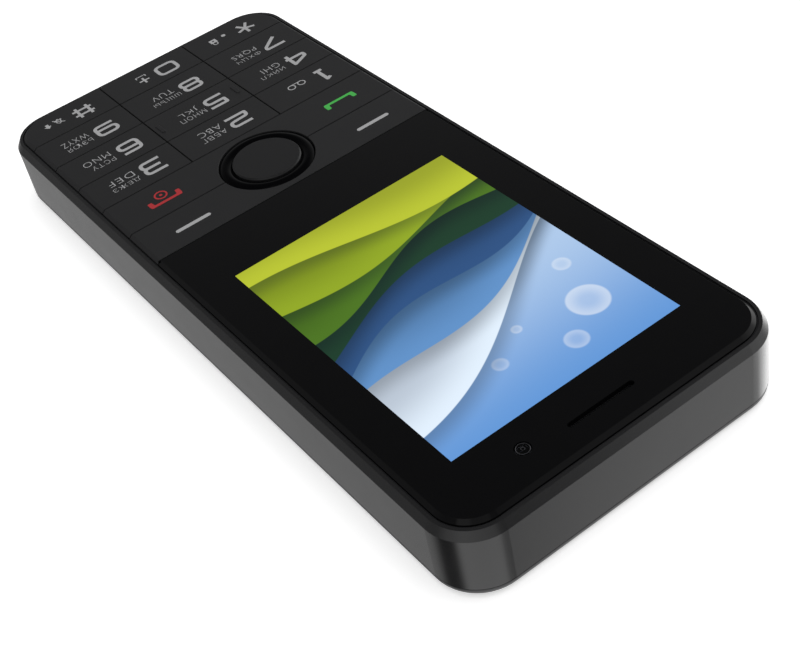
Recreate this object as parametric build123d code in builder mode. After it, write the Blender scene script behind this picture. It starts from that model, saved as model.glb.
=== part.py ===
from build123d import *
import os

os.makedirs("parts", exist_ok=True)

# The phone lies on its back: +Z comes out of the front, +Y points to the earpiece end,
# +X is the right-hand side seen from the front. The origin is the middle of the back.

# Shared values
corner_radius = 6.8
overrun = 1.0
fit_gap = 0.1

# Display's active area and its place in the front
display_width = 36.72
display_length = 48.96
display_side_margin = 7.74
display_from_top = 11.22
display_above_keypad = 11.52

# Rim round the front, from the outer wall inwards
rim_chamfer_width = 0.7
rim_chamfer_depth = 1.2
rim_lip_width = 0.49
rim_drop = 0.53
rim_groove = 0.29
plate_bevel_width = 0.55
plate_bevel_depth = 0.48

# Layers behind the front
lens_thickness = 0.85
tape_thickness = 0.15
keycap_thickness = 1.1
key_travel = 0.3
key_rest_gap = 0.05
keymat_thickness = 0.4
keypad_deck_thickness = 0.8
dome_height = 0.25
dome_sheet_thickness = 0.15
board_thickness = 0.9

# Keypad layout
upper_row_height = 8.83
number_row_height = 8.19
last_row_height = 8.09
column_line_x = 8.29
lens_gap = 0.25
key_gap = 0.18
key_edge = 0.07
post_radius = 1.1
post_clearance = 0.25
key_dome_radius = 2.0
ridge_x = 7.2
ridge_length = 2.8
ridge_width = 0.7
ridge_height = 0.14
ridge_round = 0.1

# Navigation ring and centre key
nav_hole_margin = 1.23
nav_ring_gap = 0.15
nav_ring_width = 1.91
nav_ring_height = 0.45
nav_crown = 0.38
nav_ring_rise = 0.12
ok_gap = 0.14
ok_raise = 0.25
ok_edge = 0.2
nav_tilt_room = 0.35
actuator_thickness = 0.4
actuator_inner_gap = 0.32
actuator_hoop_width = 0.26
actuator_outer_gap = 0.15
actuator_gap_width = 3.6
nub_inset = 0.75
nub_radius = 0.5
nav_dome_radius = 1.4

# Display module
panel_side_margin = 2.9
panel_top_margin = 1.3
panel_above_keypad = 4.52
panel_ledge_length = 4.5
panel_thickness = 1.2
panel_front_glass = 0.6
backlight_thickness = 0.65
backlight_wall = 0.3
backlight_wall_rise = 0.5
cushion_side_inset = 2.9
cushion_frame_width = 7.0
driver_chip_width = 18.0
driver_chip_length = 1.6
driver_chip_height = 0.3
flex_width = 20.0
flex_thickness = 0.15
flex_drop_run = 1.6
flex_pad_length = 2.2

# Earpiece and front camera
earpiece_from_top = 5.71
earpiece_slot_length = 10.4
earpiece_slot_width = 0.85
earpiece_mesh_thickness = 0.15
earpiece_mesh_gap = 0.05
earpiece_length = 12.0
earpiece_width = 5.4
earpiece_thickness = 1.5
front_camera_from_top = 6.86
front_camera_x = 11.15
front_camera_size = 4.0
front_camera_body_height = 1.8
front_camera_barrel_radius = 1.4
front_window_radius = 1.1
front_window_gap = 0.06
front_window_sink = 0.1
front_window_thickness = 0.6

# Housings and cover
housing_wall = 1.4
board_ledge_inset = 2.6
board_edge_gap = 0.3
cover_height = 1.5
cover_floor = 1.0
cover_edge_radius = 1.4
cover_seam = 0.08
skirt_thickness = 0.6
skirt_height = 2.4
skirt_gap = 0.15
tab_width = 6.0
tab_height = 0.9
tab_from_ends = 20.0
nail_notch_width = 12.0
nail_notch_depth = 0.8
nail_notch_height = 0.6
rear_housing_bottom = 1.35
rear_housing_step = 3.8
rear_housing_floor = 0.8
rear_housing_inner_inset = 3.3
bay_floor_thickness = 0.5
bay_wall = 0.8
shield_height = 1.3

# Battery
battery_from_side = 7.6
battery_from_bottom = 29.25
battery_thickness = 4.3
battery_corner = 1.2
battery_side_gap = 0.2
battery_face_gap = 0.1
battery_cover_gap = 0.25

# Screws and their bosses
boss_radius = 1.7
boss_bottom = 4.0
boss_gap = 0.2
corner_boss_from_side = 5.1
corner_boss_from_end = 7.15
middle_boss_from_side = 4.2
middle_boss_above_keypad = 2.15
screw_radius = 0.7
screw_length = 4.4
screw_hole_clearance = 0.03
screw_head_radius = 1.4
screw_head_height = 0.6
screw_seat = 2.5
screw_recess_width = 1.0
screw_recess_depth = 0.3
screw_pilot_extra = 0.3
sleeve_wall = 0.7

# Board furniture
sim_holder_side_gap = 0.7
sim_holder_middle_gap = 1.6
sim_holder_length = 18.0
sim_holder_end_gap = 1.6
sim_holder_frame = 0.9
sim_slot_height = 0.85
memory_holder_width = 14.0
memory_holder_length = 14.5
memory_holder_gap = 3.75
memory_holder_frame = 1.3
holder_skin = 0.2
holder_window_margin = 2.4
shield_length = 20.0
shield_side_gap = 0.45
shield_middle_gap = 1.1
shield_holder_gap = 1.05
shield_wall = 0.15
chip_large = 9.0
chip_small = 6.0
chip_height = 0.8
contact_block_width = 8.0
contact_block_length = 3.2
contact_block_height = 4.7
contact_pitch = 2.4
contact_width = 1.2
contact_height = 2.0
contact_reach_gap = 0.1
led_width = 1.6
led_length = 0.8
led_height = 0.5
led_hole_margin = 0.3

# Sockets and sound in the keypad end
usb_width = 9.0
usb_height = 3.2
usb_length = 7.4
usb_shell = 0.3
usb_mouth_inset = 0.45
usb_tongue_thickness = 0.7
usb_tongue_width = 6.6
usb_tongue_setback = 0.9
usb_opening_gap = 0.15
jack_from_side = 13.1
jack_width = 6.2
jack_height = 4.9
jack_length = 12.0
jack_bore_radius = 1.78
jack_bore_length = 12.5
jack_collar_radius = 2.4
jack_collar_inset = 0.25
microphone_x = 12.0
microphone_width = 3.8
microphone_length = 3.0
microphone_height = 1.0
microphone_hole_radius = 0.4

# Sound, camera and light behind the display
speaker_from_side = 15.1
speaker_from_top = 14.0
speaker_width = 16.0
speaker_length = 11.0
speaker_height = 3.0
speaker_corner = 2.0
speaker_cone_margin = 1.6
speaker_cone_depth = 0.5
speaker_slot_width = 1.1
speaker_slot_length = 8.0
speaker_slot_pitch = 2.4
speaker_slot_count = 5
speaker_mesh_thickness = 0.12
speaker_mesh_margin = 1.0
rear_camera_x = 9.5
rear_camera_from_top = 13.5
rear_camera_size = 8.0
rear_camera_body_bottom = 3.4
rear_camera_barrel_radius = 3.0
rear_camera_barrel_bottom = 1.5
rear_camera_glass_radius = 1.6
rear_camera_glass_depth = 0.3
rear_window_radius = 3.6
rear_window_thickness = 0.6
rear_window_sink = 0.2
torch_below_camera = 9.0
torch_size = 3.2
torch_height = 0.9
torch_hole_radius = 1.2
torch_lens_radius = 1.7
torch_lens_sink = 0.1
motor_x = 10.5
motor_speaker_gap = 4.0
motor_bay_gap = 2.75
motor_radius = 4.0
motor_height = 2.7
motor_hub_radius = 1.2
motor_hub_height = 0.2

# Antenna on the back of the rear housing
antenna_from_side = 10.1
antenna_length = 15.0
antenna_thickness = 0.12
antenna_trace = 1.6
antenna_from_end = 5.2
antenna_finger_count = 6

# Heights worked out from the layers, from the cover up to the front
battery_bottom = cover_floor + battery_cover_gap
battery_top = battery_bottom + battery_thickness
bay_ceiling = battery_top + battery_face_gap
bay_floor_top = bay_ceiling + bay_floor_thickness
shield_bottom = bay_floor_top + key_rest_gap
board_bottom = shield_bottom + shield_height
board_top = board_bottom + board_thickness
board_ledge_height = board_top + key_rest_gap
dome_sheet_top = board_top + dome_sheet_thickness
dome_top = dome_sheet_top + dome_height
deck_bottom = dome_top + key_rest_gap + key_travel
keymat_bottom = deck_bottom + keypad_deck_thickness
keymat_top = keymat_bottom + keymat_thickness
keycap_bottom = keymat_top + key_rest_gap + key_travel
front_plane = keycap_bottom + keycap_thickness
lens_bottom = front_plane - lens_thickness
deck_top = lens_bottom - tape_thickness
lip_height = front_plane - rim_drop
wall_top = lip_height - rim_chamfer_depth
chamber_floor = rear_housing_bottom + rear_housing_floor
wall_bottom = cover_height + cover_seam

# Insets from the outer wall
recess_inset = rim_chamfer_width + rim_lip_width
plate_inset = recess_inset + rim_groove
rear_housing_inset = housing_wall + fit_gap
board_inset = housing_wall + board_edge_gap
skirt_inset = housing_wall + fit_gap
skirt_inner_inset = skirt_inset + skirt_thickness
rear_housing_lower_inset = skirt_inner_inset + skirt_gap

# Overall size
keypad_length = 2 * upper_row_height + 3 * number_row_height + last_row_height + plate_inset
body_length = display_from_top + display_length + display_above_keypad + keypad_length
body_width = display_width + 2 * display_side_margin

# Places along the body
top_end = body_length / 2
bottom_end = -body_length / 2
half_width = body_width / 2
plate_half_width = half_width - plate_inset
keypad_top_y = bottom_end + keypad_length
nav_y = keypad_top_y - upper_row_height
number_top_y = nav_y - upper_row_height
plate_bottom_y = bottom_end + plate_inset
display_high_y = top_end - display_from_top
display_y = display_high_y - display_length / 2
panel_width = display_width + 2 * panel_side_margin
panel_low_y = keypad_top_y + panel_above_keypad
panel_high_y = display_high_y + panel_top_margin
panel_length = panel_high_y - panel_low_y
panel_y = (panel_high_y + panel_low_y) / 2
panel_bottom = deck_top - panel_thickness
backlight_bottom = panel_bottom - backlight_thickness
backlight_margin = backlight_wall + key_rest_gap
backlight_width = panel_width + 2 * backlight_margin
backlight_length = panel_length + 2 * backlight_margin
earpiece_y = top_end - earpiece_from_top
front_camera_y = top_end - front_camera_from_top
speaker_y = top_end - speaker_from_top
motor_y = speaker_y - speaker_length / 2 - motor_speaker_gap - motor_radius
battery_high_y = motor_y - motor_radius - motor_bay_gap
battery_low_y = bottom_end + battery_from_bottom
battery_length = battery_high_y - battery_low_y
battery_width = body_width - 2 * battery_from_side
bay_top_y = battery_high_y + battery_side_gap
bay_bottom_y = battery_low_y - battery_side_gap
bay_length = bay_top_y - bay_bottom_y
bay_width = battery_width + 2 * battery_side_gap
bay_y = (bay_top_y + bay_bottom_y) / 2
sim_holder_width = battery_width / 2 - sim_holder_side_gap - sim_holder_middle_gap / 2
sim_slot_width = sim_holder_width - 2 * sim_holder_frame
sim_holder_x = (sim_holder_width + sim_holder_middle_gap) / 2
sim_y = bay_top_y - sim_holder_end_gap - sim_holder_length / 2
sim_low_y = sim_y - sim_holder_length / 2
memory_slot_width = memory_holder_width - 2 * memory_holder_frame
memory_y = sim_low_y - memory_holder_gap - memory_holder_length / 2
memory_low_y = memory_y - memory_holder_length / 2
shield_width = battery_width / 2 - shield_side_gap - shield_middle_gap / 2
shield_x = (shield_width + shield_middle_gap) / 2
shield_y = memory_low_y - shield_holder_gap - shield_length / 2
usb_center_height = board_bottom - usb_height / 2
usb_mouth_y = bottom_end + usb_mouth_inset
jack_x = half_width - jack_from_side
jack_center_height = board_bottom - jack_height / 2
jack_body_start_y = bottom_end + rear_housing_inner_inset + fit_gap
microphone_y = bottom_end + rear_housing_inner_inset + microphone_length / 2 + fit_gap
microphone_hole_height = board_bottom - microphone_height / 2
speaker_x = half_width - speaker_from_side
rear_camera_y = top_end - rear_camera_from_top
torch_y = rear_camera_y - torch_below_camera
corner_boss_x = half_width - corner_boss_from_side
corner_boss_y = top_end - corner_boss_from_end
middle_boss_x = half_width - middle_boss_from_side
middle_boss_y = keypad_top_y + middle_boss_above_keypad
antenna_width = body_width - 2 * antenna_from_side

# Radii of the navigation ring and what lies in and under it
nav_hole_radius = upper_row_height - nav_hole_margin
nav_ring_radius = nav_hole_radius - nav_ring_gap
ring_inner_radius = nav_ring_radius - nav_ring_width
ok_radius = ring_inner_radius - ok_gap
actuator_radius = nav_ring_radius - actuator_outer_gap
actuator_inner_radius = ok_radius + actuator_inner_gap
nub_circle_radius = nav_ring_radius - nub_inset

boss_places = [
    (-corner_boss_x, corner_boss_y),
    (corner_boss_x, corner_boss_y),
    (-middle_boss_x, middle_boss_y),
    (middle_boss_x, middle_boss_y),
    (-corner_boss_x, -corner_boss_y),
    (corner_boss_x, -corner_boss_y),
]

ON_BASE = (Align.CENTER, Align.CENTER, Align.MIN)


def slab(inset, low, high, mode=Mode.ADD):
    """Slab with the body's outline, drawn in by an inset, between two heights."""
    with BuildSketch(Plane.XY.offset(low)) as outline:
        RectangleRounded(body_width - 2 * inset, body_length - 2 * inset, corner_radius - inset)
    extrude(outline.sketch, amount=high - low, mode=mode)


def sloping_slab(low_inset, high_inset, low, high):
    """Slab with the body's outline whose sides lean in from one inset to another."""
    with BuildSketch(Plane.XY.offset(low)) as base:
        low_width = body_width - 2 * low_inset
        low_length = body_length - 2 * low_inset
        RectangleRounded(low_width, low_length, corner_radius - low_inset)
    with BuildSketch(Plane.XY.offset(high)) as top:
        high_width = body_width - 2 * high_inset
        high_length = body_length - 2 * high_inset
        RectangleRounded(high_width, high_length, corner_radius - high_inset)
    loft([base.sketch, top.sketch], ruled=True)


def block(x, y, width, length, low, high, mode=Mode.ADD):
    """Square-cornered block centred on x and y, between two heights."""
    with Locations((x, y, low)):
        Box(width, length, high - low, align=ON_BASE, mode=mode)


def round_block(x, y, width, length, radius, low, high, mode=Mode.ADD):
    """Block with rounded upright corners, between two heights."""
    with BuildSketch(Plane.XY.offset(low)) as outline:
        with Locations((x, y)):
            RectangleRounded(width, length, radius)
    extrude(outline.sketch, amount=high - low, mode=mode)


def slot_block(x, y, length, width, low, high, turn=0, mode=Mode.ADD):
    """Block with half-round ends, between two heights."""
    with BuildSketch(Plane.XY.offset(low)) as outline:
        with Locations((x, y)):
            SlotOverall(length, width, rotation=turn)
    extrude(outline.sketch, amount=high - low, mode=mode)


def rod(x, y, radius, low, high, mode=Mode.ADD):
    """Upright cylinder between two heights."""
    with Locations((x, y, low)):
        Cylinder(radius, high - low, align=ON_BASE, mode=mode)


def end_bore(x, height, radius, low_y, high_y, mode=Mode.SUBTRACT):
    """Cylinder along the body's length between two places on it."""
    with BuildSketch(Plane.XZ.offset(-low_y)) as circle:
        with Locations((x, height)):
            Circle(radius)
    extrude(circle.sketch, amount=low_y - high_y, mode=mode)


def end_slot(x, height, length, width, low_y, high_y, mode=Mode.SUBTRACT):
    """Slot shape along the body's length between two places on it."""
    with BuildSketch(Plane.XZ.offset(-low_y)) as slot:
        with Locations((x, height)):
            SlotOverall(length, width)
    extrude(slot.sketch, amount=low_y - high_y, mode=mode)


def front_plate(low):
    """The plate that lens and keycaps are cut from, with the bevel round its edge."""
    slab(plate_inset, low, front_plane - plate_bevel_depth)
    sloping_slab(plate_inset, plate_inset + plate_bevel_width, front_plane - plate_bevel_depth, front_plane)


def save(builder, label):
    """Label a finished piece and write it to its own file."""
    builder.part.label = label
    export_step(builder.part, f"parts/{label}.step")


# Keycaps: name, left and right edge, lower and upper edge, places of the posts
number_rows_y = [number_top_y - row * number_row_height for row in range(4)] + [plate_bottom_y]
outer_x = half_width
number_columns = [
    (-outer_x, -column_line_x - key_gap / 2, -(column_line_x + plate_half_width) / 2),
    (-column_line_x + key_gap / 2, column_line_x - key_gap / 2, 0),
    (column_line_x + key_gap / 2, outer_x, (column_line_x + plate_half_width) / 2),
]
number_names = [
    ["key_1", "key_2", "key_3"],
    ["key_4", "key_5", "key_6"],
    ["key_7", "key_8", "key_9"],
    ["key_star", "key_0", "key_hash"],
]
side_post_x = number_columns[2][2]
soft_high_y = keypad_top_y - lens_gap / 2
soft_low_y = nav_y + key_gap / 2
call_high_y = nav_y - key_gap / 2
call_low_y = number_top_y + key_gap / 2
soft_post_y = (soft_high_y + soft_low_y) / 2
call_post_y = (call_high_y + call_low_y) / 2
soft_posts = [(-side_post_x, soft_post_y), (side_post_x, soft_post_y)]
call_posts = [(-side_post_x, call_post_y), (side_post_x, call_post_y)]

keycaps = [
    ("soft_keys", -outer_x, outer_x, soft_low_y, soft_high_y, soft_posts),
    ("call_end_keys", -outer_x, outer_x, call_low_y, call_high_y, call_posts),
]
for row, names in enumerate(number_names):
    row_high_y = number_rows_y[row] - key_gap / 2
    last_row = row == len(number_names) - 1
    row_low_y = bottom_end if last_row else number_rows_y[row + 1] + key_gap / 2
    row_post_y = (number_rows_y[row] + number_rows_y[row + 1]) / 2
    for name, (x_low, x_high, x_post) in zip(names, number_columns):
        keycaps.append((name, x_low, x_high, row_low_y, row_high_y, [(x_post, row_post_y)]))

key_posts = [post for keycap in keycaps for post in keycap[-1]] + [(0, nav_y)]
nub_places = [
    (nub_circle_radius, nav_y),
    (-nub_circle_radius, nav_y),
    (0, nav_y + nub_circle_radius),
    (0, nav_y - nub_circle_radius),
]
led_places = [(side * column_line_x, number_rows_y[row]) for side in (-1, 1) for row in (1, 2, 3)]


def make_cell(x_low, x_high, y_low, y_high):
    """Cutter for one keycap, with its upper edges sloped for the fine chamfer."""
    width = x_high - x_low
    length = y_high - y_low
    center = ((x_low + x_high) / 2, (y_low + y_high) / 2)
    shoulder = front_plane - key_edge
    with BuildPart() as cell:
        block(*center, width, length, keycap_bottom, shoulder)
        with BuildSketch(Plane.XY.offset(shoulder)) as base:
            with Locations(center):
                Rectangle(width, length)
        with BuildSketch(Plane.XY.offset(front_plane)) as top:
            with Locations(center):
                Rectangle(width - 2 * key_edge, length - 2 * key_edge)
        loft([base.sketch, top.sketch], ruled=True)
    return cell.part


# Keycaps: the soft-key rocker, the call and end rocker, and the twelve number keys.
# The middle number key has a raised ridge near each side, to be found by touch.
for name, x_low, x_high, y_low, y_high, posts in keycaps:
    cell_part = make_cell(x_low, x_high, y_low, y_high)
    with BuildPart() as keycap:
        front_plate(keycap_bottom)
        add(cell_part, mode=Mode.INTERSECT)
        if y_low > number_top_y:
            rod(0, nav_y, nav_hole_radius, keycap_bottom - overrun, front_plane + overrun, Mode.SUBTRACT)
            with Locations((0, nav_y, front_plane - key_edge)):
                Cone(nav_hole_radius, nav_hole_radius + key_edge, key_edge, align=ON_BASE, mode=Mode.SUBTRACT)
        if name == "key_5":
            ridge_y = (y_low + y_high) / 2
            ridge_top = front_plane + ridge_height
            for ridge_place in (-ridge_x, ridge_x):
                slot_block(ridge_place, ridge_y, ridge_length, ridge_width, front_plane, ridge_top, 90)
            fillet(keycap.faces().group_by(Axis.Z)[-1].edges(), radius=ridge_round)
        for post_x, post_y in posts:
            rod(post_x, post_y, post_radius, deck_bottom, keycap_bottom)
    save(keycap, name)

# Navigation ring: a crowned ring with an upper and a lower nub
ring_bottom = front_plane - nav_crown + nav_ring_rise - nav_ring_height
ring_shoulder = ring_bottom + nav_ring_height
ring_mid_radius = (nav_ring_radius + ring_inner_radius) / 2
with BuildPart() as nav_ring:
    with BuildSketch(Plane.XZ):
        with BuildLine():
            Polyline(
                (ring_inner_radius, ring_shoulder),
                (ring_inner_radius, ring_bottom),
                (nav_ring_radius, ring_bottom),
                (nav_ring_radius, ring_shoulder),
            )
            ThreePointArc(
                (nav_ring_radius, ring_shoulder),
                (ring_mid_radius, ring_shoulder + nav_crown),
                (ring_inner_radius, ring_shoulder),
            )
        make_face()
    revolve(axis=Axis.Z)
    for side in (-1, 1):
        rod(0, side * nub_circle_radius, nub_radius, deck_bottom, ring_bottom)
nav_ring.part = nav_ring.part.moved(Location((0, nav_y, 0)))
save(nav_ring, "nav_ring")

# Navigation actuator: the hoop under the ring that carries the left and right nubs
actuator_top = ring_bottom - nav_tilt_room
actuator_bottom = actuator_top - actuator_thickness
with BuildPart() as nav_actuator:
    with BuildSketch(Plane.XY.offset(actuator_bottom)):
        with Locations((0, nav_y)):
            Circle(actuator_radius)
            Rectangle(actuator_gap_width, 2 * nav_hole_radius, mode=Mode.SUBTRACT)
            Circle(actuator_inner_radius + actuator_hoop_width)
            Circle(actuator_inner_radius, mode=Mode.SUBTRACT)
    extrude(amount=actuator_thickness)
    for side in (-1, 1):
        rod(side * nub_circle_radius, nav_y, nub_radius, deck_bottom, actuator_bottom)
save(nav_actuator, "nav_actuator")

# Centre key of the navigation ring
with BuildPart() as ok_key:
    rod(0, nav_y, ok_radius, keycap_bottom, front_plane + ok_raise)
    chamfer(ok_key.faces().sort_by(Axis.Z)[-1].edges(), length=ok_edge)
    rod(0, nav_y, post_radius, deck_bottom, keycap_bottom)
save(ok_key, "ok_key")

# Silicone keymat on the deck, open round every post and under the ring
keymat_inset = recess_inset + fit_gap
with BuildPart() as keymat:
    slab(keymat_inset, keymat_bottom, keymat_top)
    cut_y = keypad_top_y - lens_gap + body_length / 2
    block(0, cut_y, body_width, body_length, keymat_bottom, keymat_top, Mode.SUBTRACT)
    for post_x, post_y in key_posts:
        rod(post_x, post_y, post_radius + post_clearance, keymat_bottom, keymat_top, Mode.SUBTRACT)
    rod(0, nav_y, nav_hole_radius, keymat_bottom, keymat_top, Mode.SUBTRACT)
save(keymat, "keymat")

# Dome sheet on the circuit board
dome_sheet_width = 2 * (side_post_x + key_dome_radius) + led_width
dome_sheet_high_y = keypad_top_y - key_dome_radius / 2
dome_sheet_low_y = key_posts[-2][1] - key_dome_radius - led_length
dome_sheet_y = (dome_sheet_high_y + dome_sheet_low_y) / 2
dome_land_share = 0.45
with BuildPart() as dome_sheet:
    block(0, dome_sheet_y, dome_sheet_width, dome_sheet_high_y - dome_sheet_low_y, board_top, dome_sheet_top)
    key_domes = [(place, key_dome_radius) for place in key_posts]
    nav_domes = [(place, nav_dome_radius) for place in nub_places]
    for (dome_x, dome_y), dome_radius in key_domes + nav_domes:
        with Locations((dome_x, dome_y, dome_sheet_top)):
            Cone(dome_radius, dome_radius * dome_land_share, dome_height, align=ON_BASE)
    for led_x, led_y in led_places:
        hole_width = led_width + 2 * led_hole_margin
        hole_length = led_length + 2 * led_hole_margin
        block(led_x, led_y, hole_width, hole_length, board_top, dome_sheet_top, Mode.SUBTRACT)
save(dome_sheet, "dome_sheet")

# Keypad lights on the circuit board
with BuildPart() as keypad_leds:
    for led_x, led_y in led_places:
        block(led_x, led_y, led_width, led_length, board_top, board_top + led_height)
save(keypad_leds, "keypad_leds")

# Display lens: the glossy plate from the keypad to the top end
lens_low_y = keypad_top_y + lens_gap / 2
with BuildPart() as display_lens:
    front_plate(lens_bottom)
    block(0, lens_low_y - body_length / 2, body_width, body_length, lens_bottom, front_plane, Mode.SUBTRACT)
    slot_block(
        0,
        earpiece_y,
        earpiece_slot_length,
        earpiece_slot_width,
        lens_bottom,
        front_plane,
        mode=Mode.SUBTRACT,
    )
    rod(front_camera_x, front_camera_y, front_window_radius, lens_bottom, front_plane, Mode.SUBTRACT)
save(display_lens, "display_lens")

# Tape that holds the lens on the deck, open over the display, earpiece and camera
tape_inset = plate_inset + fit_gap
window_width = backlight_width + 2 * fit_gap
window_length = backlight_length + 2 * fit_gap
with BuildPart() as lens_tape:
    slab(tape_inset, deck_top, lens_bottom)
    tape_low_y = lens_low_y + fit_gap
    block(0, tape_low_y - body_length / 2, body_width, body_length, deck_top, lens_bottom, Mode.SUBTRACT)
    block(0, panel_y, window_width, window_length, deck_top, lens_bottom, Mode.SUBTRACT)
    slot_block(
        0,
        earpiece_y,
        earpiece_slot_length + 2 * fit_gap,
        earpiece_slot_width + 2 * fit_gap,
        deck_top,
        lens_bottom,
        mode=Mode.SUBTRACT,
    )
    camera_hole_radius = front_camera_barrel_radius + fit_gap
    rod(front_camera_x, front_camera_y, camera_hole_radius, deck_top, lens_bottom, Mode.SUBTRACT)
save(lens_tape, "lens_tape")

# Mesh in the earpiece slot, and the small window of the front camera
with BuildPart() as earpiece_mesh:
    slot_block(
        0,
        earpiece_y,
        earpiece_slot_length - 2 * earpiece_mesh_gap,
        earpiece_slot_width - 2 * earpiece_mesh_gap,
        lens_bottom,
        lens_bottom + earpiece_mesh_thickness,
    )
save(earpiece_mesh, "earpiece_mesh")

with BuildPart() as front_camera_window:
    window_top = front_plane - front_window_sink
    window_radius = front_window_radius - front_window_gap
    rod(front_camera_x, front_camera_y, window_radius, window_top - front_window_thickness, window_top)
    chamfer(front_camera_window.faces().sort_by(Axis.Z)[-1].edges(), length=front_window_gap)
save(front_camera_window, "front_camera_window")

# Front camera and earpiece speaker on the circuit board
front_camera_shoulder = board_top + front_camera_body_height
with BuildPart() as front_camera:
    block(
        front_camera_x,
        front_camera_y,
        front_camera_size,
        front_camera_size,
        board_top,
        front_camera_shoulder,
    )
    rod(front_camera_x, front_camera_y, front_camera_barrel_radius, front_camera_shoulder, deck_top - fit_gap)
save(front_camera, "front_camera")

earpiece_bottom = board_top + key_rest_gap
earpiece_top = earpiece_bottom + earpiece_thickness
with BuildPart() as earpiece_speaker:
    round_block(
        0,
        earpiece_y,
        earpiece_length,
        earpiece_width,
        earpiece_width / 4,
        earpiece_bottom,
        earpiece_top,
    )
    slot_block(
        0,
        earpiece_y,
        earpiece_slot_length,
        earpiece_width / 2,
        earpiece_top - earpiece_mesh_thickness,
        earpiece_top,
        mode=Mode.SUBTRACT,
    )
save(earpiece_speaker, "earpiece_speaker")

# Display panel: front glass over a longer rear glass with the driver chip on its ledge
with BuildPart() as display_panel:
    rear_glass_top = deck_top - panel_front_glass
    block(0, panel_y, panel_width, panel_length, panel_bottom, rear_glass_top)
    front_glass_length = panel_length - panel_ledge_length
    front_glass_y = panel_high_y - front_glass_length / 2
    block(0, front_glass_y, panel_width, front_glass_length, rear_glass_top, deck_top)
    driver_y = panel_low_y + panel_ledge_length / 2
    driver_top = rear_glass_top + driver_chip_height
    block(0, driver_y, driver_chip_width, driver_chip_length, rear_glass_top, driver_top)
save(display_panel, "display_panel")

# Backlight tray round and behind the panel
with BuildPart() as display_backlight:
    tray_top = panel_bottom + backlight_wall_rise
    block(0, panel_y, backlight_width, backlight_length, backlight_bottom, tray_top)
    tray_inner_width = panel_width + 2 * key_rest_gap
    tray_inner_length = panel_length + 2 * key_rest_gap
    block(0, panel_y, tray_inner_width, tray_inner_length, panel_bottom, tray_top, Mode.SUBTRACT)
save(display_backlight, "display_backlight")

# Foam cushion between the backlight and the circuit board
with BuildPart() as display_cushion:
    cushion_width = panel_width - 2 * cushion_side_inset
    block(0, display_y, cushion_width, display_length, board_top, backlight_bottom)
    inner_width = cushion_width - 2 * cushion_frame_width
    inner_length = display_length - 2 * cushion_frame_width
    block(0, display_y, inner_width, inner_length, board_top, backlight_bottom, Mode.SUBTRACT)
save(display_cushion, "display_cushion")

# Ribbon from the display's lower end down to the board
flex_start_y = panel_y - backlight_length / 2
flex_high = backlight_bottom + flex_thickness
flex_step_y = flex_start_y - flex_drop_run
flex_end_y = flex_step_y - flex_pad_length
flex_low = board_top + flex_thickness
with BuildPart() as display_flex:
    with BuildSketch(Plane.YZ.offset(-flex_width / 2)):
        with BuildLine():
            Polyline(
                (flex_start_y, flex_high),
                (flex_start_y, backlight_bottom),
                (flex_step_y + flex_thickness, board_top),
                (flex_end_y, board_top),
                (flex_end_y, flex_low),
                (flex_step_y, flex_low),
                (flex_start_y - flex_thickness, flex_high),
                close=True,
            )
        make_face()
    extrude(amount=flex_width)
save(display_flex, "display_flex")

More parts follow.
